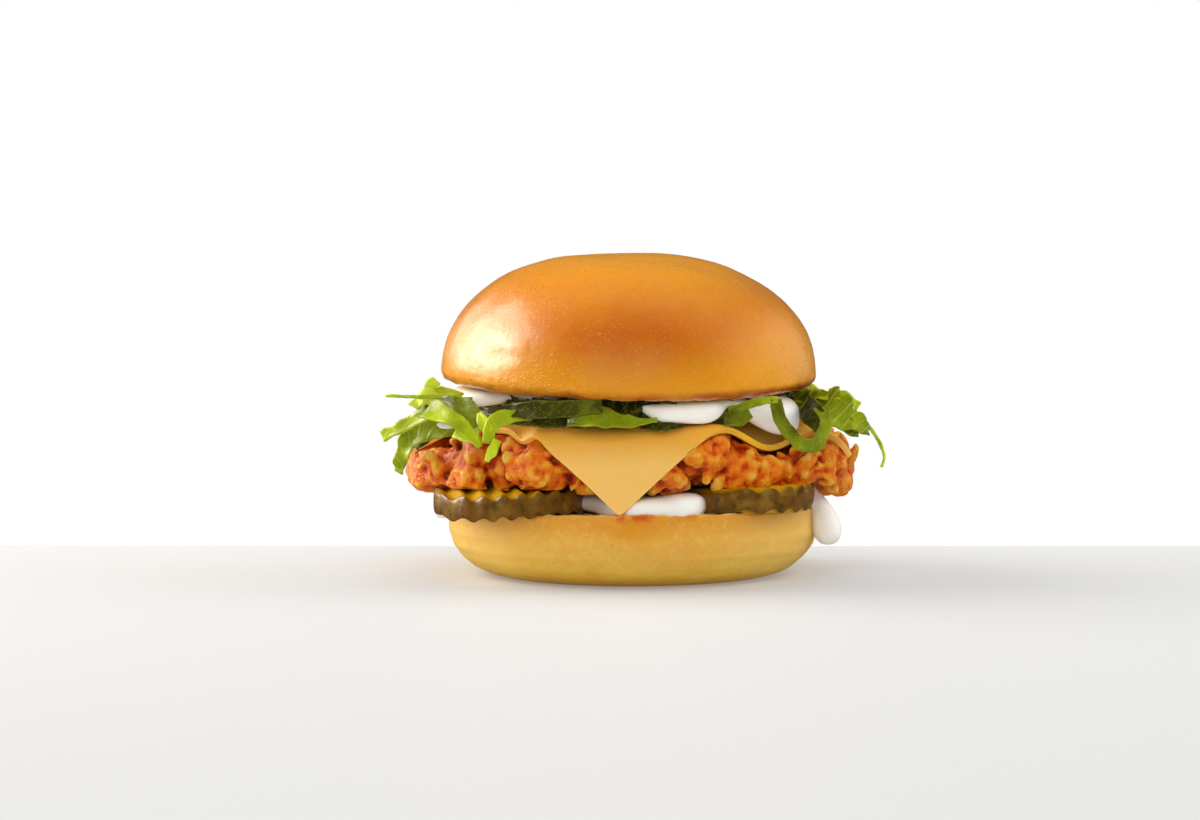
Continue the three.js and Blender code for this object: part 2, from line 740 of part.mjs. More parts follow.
// Everything cut to fit: the firm pieces first, then what flows or tucks in round them.
const heel = heelSolid();
const crown = crownSolid();
const grownHeel = heelSolid(gap);
const grownCrown = crownSolid(gap);
const slice = sliceSolid();
const sliceCutter = sliceSolid(gap, 7);
const grownSlice = sliceSolid(gap);
const pickleSolids = pickles.map((pickle) => pickleSolid(pickle).subtract(grownHeel));

const lowerSauce = largestPiece(
  joined([poolSolid(lowerPool), dripSolid(sideDrip)])
    .subtract(grownHeel)
    .subtract(joined(pickles.map((pickle) => pickleCutter(pickle, 20))))
    .subtract(grownSlice),
);
const fillet = largestPiece(
  filletSolid()
    .subtract(sliceCutter)
    .subtract(joined(pickles.map((pickle) => pickleCutter(pickle))))
    .subtract(joined([poolSolid(lowerPool, gap), dripSolid(sideDrip, gap)])),
);
const upperSauce = largestPiece(
  poolSolid(upperPool).subtract(grownCrown).subtract(grownSlice),
);
const lettuce = largestPiece(
  joined([poolSolid(lettuceCore), ...[...shreds, ...roots].map(shredSolid)])
    .subtract(grownCrown)
    .subtract(poolSolid(upperPool, gap))
    .subtract(grownSlice)
    .subtract(filletSolid(gap)),
);

function food(colour, roughness) {
  return new THREE.MeshStandardMaterial({ color: colour, roughness, metalness: 0 });
}

const burger = new THREE.Group();
burger.add(
  meshOf(heel, "bun_heel", food(0xe3ab52, 0.7)),
  meshOf(lowerSauce, "sauce_lower", food(0xf4efe6, 0.25)),
  meshOf(fillet, "chicken_fillet", food(0xd8701c, 0.45)),
  meshOf(slice, "cheese_slice", food(0xf0b23c, 0.4)),
  meshOf(lettuce, "lettuce_shreds", food(0x86a51c, 0.4)),
  meshOf(upperSauce, "sauce_upper", food(0xf4efe6, 0.25)),
  meshOf(crown, "bun_crown", food(0xd98b26, 0.35)),
);
pickleSolids.forEach((solid, i) =>
  burger.add(meshOf(solid, pickles[i].name, food(0x7a6a1c, 0.35))),
);

export default burger;
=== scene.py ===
import math

import bpy
import numpy as np
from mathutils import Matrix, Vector
from mathutils.bvhtree import BVHTree


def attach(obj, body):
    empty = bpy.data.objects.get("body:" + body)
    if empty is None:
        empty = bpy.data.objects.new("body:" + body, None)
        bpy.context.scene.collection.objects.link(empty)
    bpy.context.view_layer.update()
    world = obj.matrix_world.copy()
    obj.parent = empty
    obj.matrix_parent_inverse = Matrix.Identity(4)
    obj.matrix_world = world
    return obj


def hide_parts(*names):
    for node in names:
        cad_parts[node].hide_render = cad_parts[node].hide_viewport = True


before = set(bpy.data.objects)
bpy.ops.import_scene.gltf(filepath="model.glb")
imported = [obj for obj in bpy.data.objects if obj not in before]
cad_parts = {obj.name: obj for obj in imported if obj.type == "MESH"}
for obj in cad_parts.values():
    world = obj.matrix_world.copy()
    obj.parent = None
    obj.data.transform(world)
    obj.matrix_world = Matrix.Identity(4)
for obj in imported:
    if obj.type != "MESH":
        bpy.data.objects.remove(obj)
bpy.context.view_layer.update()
print("frame loaded:", len(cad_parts), "nodes")

mm = 0.001
degree = math.pi / 180
turn = 2 * math.pi
goldenAngle = math.pi * (3 - math.sqrt(5))

# The layers' sizes and heights in mm, as in the part's source.
stack = {
    "bunRadius": 54.0,
    "heelHeight": 19.6,
    "crownHeight": 36.8,
    "pickleThickness": 6.2,
    "pickleFloor": 20.4,
    "filletFloor": 27.0,
    "filletTop": 43.6,
    "filletLength": 127,
    "sliceThickness": 2.4,
    "crownFloor": 55.6,
}


# Numbers.
def chance(seed):  # the same number between 0 and 1 for the same seed
    wild = np.sin(np.asarray(seed, float) * 12.9898) * 43758.5453
    return wild - np.floor(wild)


def lerp(low, high, share):
    return low + (high - low) * share


def smoothstep(value, low, high):
    share = np.clip((value - low) / (high - low), 0, 1)
    return share * share * (3 - 2 * share)


def hill(x, y, centreX, centreY, wideX, wideY):
    return np.exp(-(((x - centreX) / wideX) ** 2) - ((y - centreY) / wideY) ** 2)


def turned(x, y, angle):  # about the origin of their plane
    cos, sin = math.cos(angle), math.sin(angle)
    return x * cos - y * sin, x * sin + y * cos


def unit(vectors):
    return vectors / np.linalg.norm(vectors, axis=1)[:, None]


def unevenness(x, y, z):  # smooth, about -1 to 1, with bumps some 3 units apart
    return (
        np.sin(x + 2.3 * y + 0.7 * z + 1.3)
        + np.sin(-2.1 * x + 0.9 * y + 1.7 * z + 4.1)
        + np.sin(1.6 * x - 1.3 * y - 2.2 * z + 2.2)
        + np.sin(0.5 * x + 1.9 * y + 2.6 * z + 5.5)
    ) / 4


def lumps(points, size, seed=0):  # smooth seeded noise, -1 to 1, with lumps of that size in mm
    spot = points / size + 17.3
    cell = np.floor(spot).astype(np.int64)
    part = spot - cell
    part = part * part * (3 - 2 * part)
    total = np.zeros(len(points))
    for corner in range(8):
        step = np.array([corner & 1, corner >> 1 & 1, corner >> 2 & 1])
        key = (cell + step) @ np.array([73856093, 19349663, 83492791]) + seed * 7919
        key = ((key ^ (key >> 13)) * 1274126177) & 0x7FFFFFFF
        value = ((key ^ (key >> 16)) & 0xFFFF) / 32767.5 - 1
        total += value * np.prod(np.where(step, part, 1 - part), axis=1)
    return total


# Meshes.
def startWith(name, add, **options):
    bpy.ops.object.select_all(action="DESELECT")
    add(**options)
    piece = bpy.context.object
    piece.name = piece.data.name = name
    return piece


def getPoints(piece):
    points = np.empty(len(piece.data.vertices) * 3)
    piece.data.vertices.foreach_get("co", points)
    return points.reshape(-1, 3) / mm


def setPoints(piece, points):
    piece.data.vertices.foreach_set("co", (np.asarray(points) * mm).ravel())
    piece.data.update()


def getNormals(piece):
    normals = np.empty(len(piece.data.vertices) * 3, np.float32)
    piece.data.vertex_normals.foreach_get("vector", normals)
    return normals.reshape(-1, 3).astype(float)


def smoothed(piece, values, rounds):  # each point's values, averaged with its neighbours'
    edges = np.empty(len(piece.data.edges) * 2, np.int32)
    piece.data.edges.foreach_get("vertices", edges)
    a, b = edges.reshape(-1, 2).T
    size = len(piece.data.vertices)
    count = np.bincount(a, minlength=size) + np.bincount(b, minlength=size)
    for _ in range(rounds):
        near = [
            np.bincount(a, column[b], size) + np.bincount(b, column[a], size)
            for column in values.T
        ]
        values = 0.5 * values + 0.5 * (np.array(near) / count).T
    return values


def paint(piece, name, values):  # a number at each point, for the materials
    attribute = piece.data.attributes.get(name) or piece.data.attributes.new(
        name, "FLOAT", "POINT"
    )
    attribute.data.foreach_set("value", np.asarray(values, np.float32))


def select(*pieces):  # the first is the active one
    bpy.ops.object.select_all(action="DESELECT")
    for piece in pieces:
        piece.select_set(True)
    bpy.context.view_layer.objects.active = pieces[0]


def applyModifier(piece, kind, **settings):
    select(piece)
    modifier = piece.modifiers.new(kind.title(), kind)
    for key, value in settings.items():
        setattr(modifier, key, value)
    bpy.ops.object.modifier_apply(modifier=modifier.name)


def joinPieces(pieces, name):
    select(*pieces)
    bpy.ops.object.join()
    pieces[0].name = pieces[0].data.name = name
    return pieces[0]


def roundStart(name, segments, rings):  # a ball, with each point's angle and pitch
    ball = bpy.ops.mesh.primitive_uv_sphere_add
    piece = startWith(name, ball, segments=segments, ring_count=rings, radius=mm)
    x, y, z = getPoints(piece).T
    return piece, np.arctan2(y, x), np.arctan2(z, np.hypot(x, y))


def gridStart(name, stepsX, stepsY):  # a square, with its points
    square = bpy.ops.mesh.primitive_grid_add
    piece = startWith(name, square, x_subdivisions=stepsX, y_subdivisions=stepsY, size=mm)
    return piece, getPoints(piece)


def finishPiece(piece, node, material):
    select(piece)
    bpy.ops.object.shade_smooth()
    piece.data.materials.clear()
    piece.data.materials.append(material)
    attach(piece, "root")
    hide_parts(node)
    print("made", piece.name, len(piece.data.polygons), "faces")


# Materials.
def tint(red, green, blue):  # from 0 to 255, as a colour picker gives them
    values = [channel / 255 for channel in (red, green, blue)]
    linear = [v / 12.92 if v <= 0.04045 else ((v + 0.055) / 1.055) ** 2.4 for v in values]
    return (*linear, 1.0)


class Wire:
    def __init__(self, board, socket):
        self.board = board
        self.socket = socket

    def calc(self, operation, first, second, clamp=False):
        settings = {"operation": operation, "use_clamp": clamp}
        return self.board.node("ShaderNodeMath", settings, {0: first, 1: second})

    def __add__(self, other):
        return self.calc("ADD", self, other)

    def __sub__(self, other):
        return self.calc("SUBTRACT", self, other)

    def __rsub__(self, other):
        return self.calc("SUBTRACT", other, self)

    def __mul__(self, other):
        return self.calc("MULTIPLY", self, other)

    __radd__ = __add__
    __rmul__ = __mul__

    def held(self):  # kept between 0 and 1
        return self.calc("ADD", self, 0, clamp=True)


class Board:  # the nodes of one material, or of the studio's light
    def __init__(self, tree, coordinates):
        self.tree = tree
        self.spot = self.node("ShaderNodeTexCoord", output=coordinates)

    def node(self, kind, settings=None, inputs=None, output=0):
        node = self.tree.nodes.new(kind)
        for key, value in (settings or {}).items():
            if key != "stops":
                setattr(node, key, value)
                continue
            stops = node.color_ramp.elements
            for _ in range(len(value) - len(stops)):
                stops.new(0.5)
            for stop, (place, colour) in zip(stops, value):
                stop.position = place
                stop.color = colour
        for key, value in (inputs or {}).items():
            if isinstance(value, Wire):
                self.tree.links.new(value.socket, node.inputs[key])
            else:
                node.inputs[key].default_value = value
        return Wire(self, node.outputs[output])

    def noise(self, size, detail=2.0, roughness=0.5):  # size in mm
        inputs = {"Vector": self.spot, "Scale": 1 / (size * mm)}
        inputs.update({"Detail": detail, "Roughness": roughness})
        return self.node("ShaderNodeTexNoise", inputs=inputs)

    def cells(self, size):  # the distance to the middle of each cell
        inputs = {"Vector": self.spot, "Scale": 1 / (size * mm)}
        return self.node("ShaderNodeTexVoronoi", inputs=inputs)

    def painted(self, name):
        return self.node("ShaderNodeAttribute", {"attribute_name": name}, output="Fac")

    def ramp(self, factor, *stops):  # each stop is its place, red, green and blue
        stops = [(place, tint(*colour)) for place, *colour in stops]
        return self.node("ShaderNodeValToRGB", {"stops": stops}, {0: factor})

    def fade(self, value, low, high):  # 0 at low and 1 at high, soft at both ends
        settings = {"interpolation_type": "SMOOTHSTEP"}
        inputs = {"Value": value, "From Min": low, "From Max": high}
        return self.node("ShaderNodeMapRange", settings, inputs)

    def mix(self, factor, first, second):
        inputs = {0: factor, 6: first, 7: second}
        return self.node("ShaderNodeMix", {"data_type": "RGBA"}, inputs, output=2)

    def bump(self, height, depth, strength=1.0):  # depth in mm
        inputs = {"Strength": strength, "Distance": depth * mm, "Height": height}
        return self.node("ShaderNodeBump", inputs=inputs)


class Look(Board):  # one material, whose base is the colour it has so far
    def __init__(self, name, **constants):
        self.material = bpy.data.materials.new(name)
        self.material.use_nodes = True
        super().__init__(self.material.node_tree, "Object")
        self.shader = self.tree.nodes["Principled BSDF"]
        self.setInputs(**constants)

    def setInputs(self, **constants):
        for key, value in constants.items():
            self.shader.inputs[key.replace("_", " ")].default_value = value

    def letIn(self, share, reach, depth):  # light under the skin, each colour's reach in depths
        self.setInputs(
            Subsurface_Weight=share, Subsurface_Radius=reach, Subsurface_Scale=depth
        )

    def cover(self, share, red, green, blue):  # a colour over the base, where share says
        self.base = self.mix(share, self.base, tint(red, green, blue))

    def feed(self, **sockets):
        sockets["Base_Color"] = self.base
        for key, wire in sockets.items():
            self.tree.links.new(wire.socket, self.shader.inputs[key.replace("_", " ")])
        return self.material


# Camera, floor and light.
photo = {
    "width": 1200,
    "height": 820,
    "footX": 633,  # pixel of the part's origin
    "footY": 572.5,
    "pixelsPerMm": 3.46,
    "elevation": 5.0,
    "distance": 2400.0,
    "sensor": 36,  # the width of the camera's, in mm
}
floorEdges = {"left": -1500, "right": 1500, "front": -1500, "back": 73.4, "level": -0.05}
studio = {
    "front": 0.18,
    "back": 0.7,
    "dimmed": 0.9,  # how much darker glossy skins mirror the room
    "aim": (0, 0, 0.05),
    # name, place and size in metres, power in watts, blue in its white, and how it is seen:
    # as light on matt skins, as a shine on glossy ones, or both
    "lamps": [
        ("softboxLeft", (-0.85, 0.26, 0.48), 0.84, 13.5, 0.84, "both"),
        ("shineLeft", (-0.9, 0.16, 0.46), 0.4, 6.0, 0.84, "shine"),
        ("shineBack", (-0.7, 0.72, 0.34), 0.5, 1.7, 0.84, "shine"),
        ("softboxTop", (0.1, 0.3, 0.95), 0.9, 3.2, 1.0, "light"),
        ("fillFront", (0.0, -1.3, 0.7), 1.2, 10.8, 1.0, "light"),
        ("fillRight", (0.95, 0.1, 0.6), 0.8, 5.4, 1.0, "light"),
        ("softboxRight", (0.8, 0.6, 0.3), 0.6, 0.5, 1.0, "both"),
    ],
}


def setStage():
    halfX = (photo["width"] / 2 - photo["footX"]) / photo["pixelsPerMm"]
    upZ = (photo["footY"] - photo["height"] / 2) / photo["pixelsPerMm"]
    tilt = photo["elevation"] * degree
    aim = Vector((halfX, 0, upZ / math.cos(tilt)))
    away = Vector((0, -math.cos(tilt), math.sin(tilt))) * photo["distance"]
    bpy.ops.object.camera_add(location=(aim + away) * mm)
    camera = bpy.context.object
    camera.rotation_euler = (-away).to_track_quat("-Z", "Y").to_euler()
    camera.data.sensor_width = photo["sensor"]
    seenWidth = photo["width"] / photo["pixelsPerMm"]
    camera.data.lens = photo["sensor"] * photo["distance"] / seenWidth
    camera.data.clip_start = 0.05
    bpy.context.scene.camera = camera

    floor = startWith("floor", bpy.ops.mesh.primitive_plane_add, size=mm)
    corners = getPoints(floor)
    corners[:, 0] = np.where(corners[:, 0] < 0, floorEdges["left"], floorEdges["right"])
    corners[:, 1] = np.where(corners[:, 1] < 0, floorEdges["front"], floorEdges["back"])
    corners[:, 2] = floorEdges["level"]
    setPoints(floor, corners)
    # a faint glow of its own keeps the shadows on the table as pale as they are
    table = Look(
        "paleTable",
        Base_Color=tint(182, 183, 184),
        Roughness=0.5,
        IOR=1.15,
        Emission_Color=tint(255, 252, 248),
        Emission_Strength=0.2,
    )
    floor.data.materials.append(table.material)
    floor.visible_glossy = False

    world = bpy.data.worlds.new("studio")
    bpy.context.scene.world = world
    world.use_nodes = True
    bpy.context.scene.view_settings.view_transform = "Standard"
    # a white studio all round, which lights the burger least from the front
    board = Board(world.node_tree, "Generated")
    away = board.node("ShaderNodeSeparateXYZ", inputs={0: board.spot}, output="Y")
    lit = studio["front"] + board.fade(away, -0.7, 0.4) * (studio["back"] - studio["front"])
    seen = board.node("ShaderNodeLightPath", output="Is Camera Ray")
    mirrored = board.node("ShaderNodeLightPath", output="Is Glossy Ray")
    strength = lit * (1 - mirrored * studio["dimmed"]) * (1 - seen) + seen
    background = world.node_tree.nodes["Background"]
    background.inputs["Color"].default_value = (1, 1, 1, 1)
    world.node_tree.links.new(strength.socket, background.inputs["Strength"])

    for name, place, size, power, blue, seenAs in studio["lamps"]:
        bpy.ops.object.light_add(type="AREA", location=place)
        lamp = bpy.context.object
        lamp.name = name
        lamp.data.shape = "SQUARE"
        lamp.data.size = size
        lamp.data.energy = power
        lamp.data.color = (1, 0.6 + 0.4 * blue, blue)
        facing = Vector(studio["aim"]) - Vector(place)
        lamp.rotation_euler = facing.to_track_quat("-Z", "Y").to_euler()
        lamp.visible_glossy = seenAs != "light"
        lamp.visible_diffuse = seenAs != "shine"


setStage()
print("stage set")


# The heel of the bun.
heel = {
    "widest": 53.5,
    "side": [(38.5, 0), (42.8, 1.0), (46.4, 2.8), (49.7, 5.5), (52.2, 8.8), (53.5, 13)],
    "cut": [(53.4, 0.7), (53.1, 0.2), (52.6, 0)],
}


def heelTop(x, y):
    share = (x * x + y * y) / heel["widest"] ** 2
    rise = 2.3 * (y / heel["widest"]) ** 2 + 0.6 * (x / heel["widest"])
    return stack["heelHeight"] - 0.5 + 0.5 * share + rise


def breadLook(name, gloss):  # the pores, grain, roughness and relief that both skins have
    look = Look(name, Coat_Roughness=0.22, IOR=1.3)
    pores = look.fade(look.cells(1.5), 0.16, 0.02) * look.fade(look.noise(7), 0.45, 0.6)
    grain = look.noise(0.8, 3, 0.6)
    skin = grain * 0.9 + look.noise(4, 2) * 1.2 - pores * 0.1
    rough = gloss + look.noise(3, 3) * 0.16
    return look, rough, skin, pores, grain


def coverCutFace(look, red, green, blue):  # the crumb of the cut face, down to its darkest
    crumbs = look.mix(look.noise(2.2, 3), tint(246, 222, 160), tint(red, green, blue))
    look.base = look.mix(look.painted("cutFace"), look.base, crumbs)


def buildHeel():
    piece, angle, pitch = roundStart("bunHeelBread", 256, 120)
    # the profile from the middle of the foot up the side and in over the cut face
    profile = [(0, 0, 0)] + [(r, z, 0) for r, z in heel["side"]]
    profile += [(r, -below, 1) for r, below in heel["cut"]] + [(0, 0, 1)]
    radii, heights, onTop = np.array(profile, float).T
    places = np.array([-90, -58, -50, -42, -32, -20, -6, 22, 34, 44, 90]) * degree
    radius = np.interp(pitch, places, radii)
    height = np.interp(pitch, places, heights)
    top = np.interp(pitch, places, onTop)
    swell = 1 + 0.006 * np.sin(3 * angle + 1.2)
    x, y = radius * np.cos(angle) * swell, radius * np.sin(angle) * swell
    points = np.array([x, y, height + top * heelTop(x, y)]).T
    setPoints(piece, points)
    points = smoothed(piece, points, 3)
    points[:, 2] = np.maximum(points[:, 2], 0)
    setPoints(piece, points)
    normals = getNormals(piece)
    x, y, z = points.T
    side = smoothstep(z, 0.3, 3)
    rim = smoothstep(z - heelTop(x, y), -0.35, 0)
    crumb = lumps(points, 1.6, 1) * 0.25 + lumps(points, 0.9, 2) * 0.14
    soft = 0.5 * lumps(points, 18, 3) + 0.12 * lumps(points, 5, 4)
    torn = smoothstep(z, heelTop(x, y) - 1.2, heelTop(x, y))
    points = points + normals * (side * soft + (rim + torn) * crumb)[:, None]
    points[:, 2] = np.maximum(points[:, 2], 0)
    setPoints(piece, points)
    paint(piece, "cutFace", rim)
    # a yellow blot and a red streak on the front, below the corner of the cheese
    x, y, z = points.T
    paint(piece, "blot", hill(x, z, -1, 18, 8, 3.2) * (y < -30))
    paint(piece, "streak", hill(x, z, 3, 21.2, 15, 1.3) * (y < -30))
    # painted light: the left and right of the heel are painted paler, where the side lamps light
    # them
    paint(piece, "palest", smoothstep(np.abs(x), 22, 46))
    look, rough, skin, pores, grain = breadLook("heelCrust", 0.42)
    height = look.node("ShaderNodeSeparateXYZ", inputs={0: look.spot}, output="Z")
    look.base = look.ramp(
        look.fade(height + (look.noise(16) - 0.5) * 5 * mm, 0, 21 * mm),
        (0.0, 224, 168, 28), (0.14, 242, 198, 70), (0.45, 232, 182, 78),
        (0.8, 230, 172, 66), (1.0, 220, 150, 44),
    )
    patches = look.fade(look.noise(9, 3), 0.35, 0.7)
    look.cover(patches * 0.3, 232, 160, 50)
    mottles = look.fade(look.noise(2.6, 4, 0.6), 0.5, 0.72)
    look.cover(mottles * 0.2, 248, 214, 130)
    look.cover(pores * 0.5, 250, 212, 120)
    look.cover(look.fade(grain, 0.54, 0.74) * 0.22, 150, 84, 14)
    # painted light on the heel's sides
    look.cover(look.painted("palest") * 0.4, 250, 212, 112)
    coverCutFace(look, 232, 190, 110)
    blot = (look.painted("blot") * (0.5 + look.noise(4, 3))).held()
    look.cover(blot * 0.8, 222, 142, 6)
    streak = look.painted("streak") * look.fade(look.noise(4.5, 3), 0.46, 0.6)
    look.cover(streak * 0.9, 204, 70, 0)
    material = look.feed(
        Roughness=rough + 0.1,
        Coat_Weight=0.3 + look.noise(9) * 0.3,
        Normal=look.bump(skin, 0.3, 0.6),
    )
    finishPiece(piece, "bun_heel", material)


buildHeel()

# The crown of the bun.
crown = {
    "centreX": -1.5,
    "tiltFront": 1.5 * degree,
    "tiltRight": 1.05 * degree,
    "power": 2.3,
    "curl": 3.2,
}


def crownFace(x, y):
    fall = (x - crown["centreX"]) * math.sin(crown["tiltRight"])
    return stack["crownFloor"] + y * math.sin(crown["tiltFront"]) - fall


def buildCrown():
    piece, angle, pitch = roundStart("bunCrownBread", 300, 150)
    radiusTop, tall, power = stack["bunRadius"], stack["crownHeight"], crown["power"]
    curlStart = -24 * degree
    start = math.asin((crown["curl"] / tall) ** (power / 2))
    dome = lerp(start, math.pi / 2, np.clip(pitch / (math.pi / 2), 0, 1))
    radius = radiusTop * np.cos(dome) ** (2 / power)
    height = tall * np.sin(dome) ** (2 / power)
    curl = np.clip((pitch - curlStart) / -curlStart, 0, 1) * math.pi / 2
    edge, tuck = radiusTop - 0.1, crown["curl"] * 0.9
    inner = edge - tuck * (1 - np.sin(curl))
    under = (edge - tuck) * ((pitch + math.pi / 2) / (curlStart + math.pi / 2))
    radius = np.where(pitch > 0, radius, np.where(pitch > curlStart, inner, under))
    curled = crown["curl"] * (1 - np.cos(curl))
    height = np.where(pitch > 0, height, np.where(pitch > curlStart, curled, 0))
    swell = 1 + 0.007 * np.sin(2 * angle + 0.6)
    x, y = radius * np.cos(angle) * swell, radius * np.sin(angle) * swell
    x, height = turned(x, height, -crown["tiltRight"])
    y, height = turned(y, height, crown["tiltFront"])
    points = np.array([x + crown["centreX"], y, height + stack["crownFloor"]]).T
    setPoints(piece, points)
    points = smoothed(piece, points, 2)
    setPoints(piece, points)
    normals = getNormals(piece)
    x, y, z = points.T
    rise = z - crownFace(x, y)
    onSkin = smoothstep(rise, 0.2, 4)
    soft = 0.45 * lumps(points, 24, 11) + 0.16 * lumps(points, 9, 12)
    fine = 0.035 * lumps(points, 2.2, 13) + 0.02 * lumps(points, 1.1, 14)
    fold = hill(x, z, -38, 66.5, 4.5, 3.2) * (y < 0)
    ridge = hill(x, z, -35.5, 68.5, 5, 2) * (y < 0)
    crumb = (1 - onSkin) * (0.35 * lumps(points, 2.4, 15) + 0.2 * lumps(points, 1.2, 16))
    move = onSkin * (soft + fine) - 0.55 * fold + 0.3 * ridge + crumb
    points = points + normals * move[:, None]
    setPoints(piece, points)
    paint(piece, "cutFace", 1 - smoothstep(rise, -0.2, 0.5))
    paint(piece, "rise", np.clip(rise / tall, 0, 1))
    x, y, z = points.T
    # darker half way up, most at the front; painted light: the left and right, below the top, are
    # painted paler gold where the side lamps light them
    baked = np.where(y < 20, hill(x, z, -2, 71.5, 30, 10), 0.7 * hill(0, z, 0, 72, 1, 8))
    paint(piece, "baked", baked)
    paint(piece, "golden", smoothstep(np.abs(x + 4), 24, 46) * (1 - smoothstep(z, 70, 82)))
    # darker red-brown along the bottom edge, most at the right
    toasted = (0.25 + 0.75 * smoothstep(x, 10, 44)) * (1 - smoothstep(rise, 1.3, 3.3))
    paint(piece, "toasted", toasted)
    # tiny blisters low on the left, painted pale as glints where the left lamp catches them, and
    # fine creases in the glaze above them
    paint(piece, "blistered", hill(x, z, -26, 60, 13, 6) * (y < 0))
    paint(piece, "creased", hill(x, z, -40, 66, 9, 9) * (y < 0))
    look, rough, skin = breadLook("crownCrust", 0.22)[:3]
    look.base = look.ramp(
        look.painted("rise") + (look.noise(14) - 0.5) * 0.12,
        (0.0, 196, 104, 4), (0.05, 232, 152, 14), (0.25, 224, 146, 20),
        (0.5, 210, 122, 2), (0.8, 218, 134, 2), (1.0, 232, 154, 14),
    )
    patches = look.fade(look.noise(13, 3), 0.4, 0.72)
    look.cover(patches * 0.25, 232, 158, 20)
    # darker half way up, most at the front
    baked = (look.painted("baked") * (0.75 + look.noise(9, 3) * 0.5)).held()
    look.cover(baked * 0.75, 188, 84, 0)
    # painted light on the crown's sides
    look.cover(look.painted("golden") * 0.4, 242, 166, 44)
    dots = look.fade(look.cells(1.3), 0.2, 0.05) * look.fade(look.noise(6), 0.4, 0.6)
    look.cover(dots * 0.5, 250, 204, 90)
    grit = look.fade(look.noise(0.7, 3, 0.6), 0.54, 0.74)
    look.cover(grit * 0.2, 150, 70, 0)
    speckle = look.fade(look.noise(0.5, 2), 0.58, 0.7) * look.fade(look.noise(11, 2), 0.35, 0.6)
    look.cover(speckle * 0.3, 250, 196, 84)
    # painted highlight: pale glints on the blisters
    blisters = look.fade(look.cells(1.0), 0.36, 0.16) * look.painted("blistered")
    look.cover(blisters * 0.35, 255, 214, 110)
    creases = look.noise(3.4, 4, 0.62) * look.painted("creased")
    toasted = (look.painted("toasted") * (0.5 + look.noise(3, 3))).held()
    look.cover(toasted * 0.85, 150, 36, 8)
    coverCutFace(look, 226, 170, 90)
    material = look.feed(
        Roughness=rough,
        Coat_Weight=0.5 + look.noise(12) * 0.4,
        Normal=look.bump(skin + speckle * 0.6 + blisters * 1.2 + creases * 6, 0.3, 0.8),
    )
    finishPiece(piece, "bun_crown", material)


buildCrown()

# The cheese slice.
cheese = {
    "side": 90.0,
    "turn": 43.5 * degree,
    "cornerX": -4.0,
    "cornerY": -72.2,
    "foldRadius": 5.0,
    "flapLean": 10 * degree,
    "thickness": 1.8,
    "steps": 110,
}


def filletDome(x, y):
    return (
        stack["filletTop"]
        - 4 * np.abs(2 * x / stack["filletLength"]) ** 3
        + 1.2 * hill(x, y, 23, -30, 10, 22)
        - 6.5 * hill(x, y, 37.4, -22, 9, 22)
        + 1.5 * hill(x, y, 58, 0, 8, 25)
    )


def foldLine(x):
    return 44.5 - 0.0042 * x * x


def sliceHeight(x, y):
    droop = 5 * smoothstep(np.abs(x), 50, 66) + 0.02 * np.maximum(0, y - 34) ** 2
    return filletDome(x, y) - droop + stack["sliceThickness"] / 2 + 0.5


def slicePoints(u, v):
    alongX, alongY = turned(u, v, cheese["turn"])
    x = cheese["cornerX"] + cheese["side"] * alongX
    y = cheese["cornerY"] + cheese["side"] * alongY
    fold = foldLine(x)
    past = np.maximum(0, -y - fold)
    bend = math.pi / 2 - cheese["flapLean"]
    radius = cheese["foldRadius"]
    arc = np.minimum(past / radius, bend)
    hang = np.maximum(0, past - radius * bend)
    foldedY = -fold - radius * np.sin(arc) - hang * math.sin(cheese["flapLean"])
    foldedZ = (
        sliceHeight(x, -fold)
        - radius * (1 - np.cos(arc))
        - hang * math.cos(cheese["flapLean"])
    )
    z = np.where(past > 0, foldedZ, sliceHeight(x, y))
    return np.array([x, np.where(past > 0, foldedY, y), z]).T


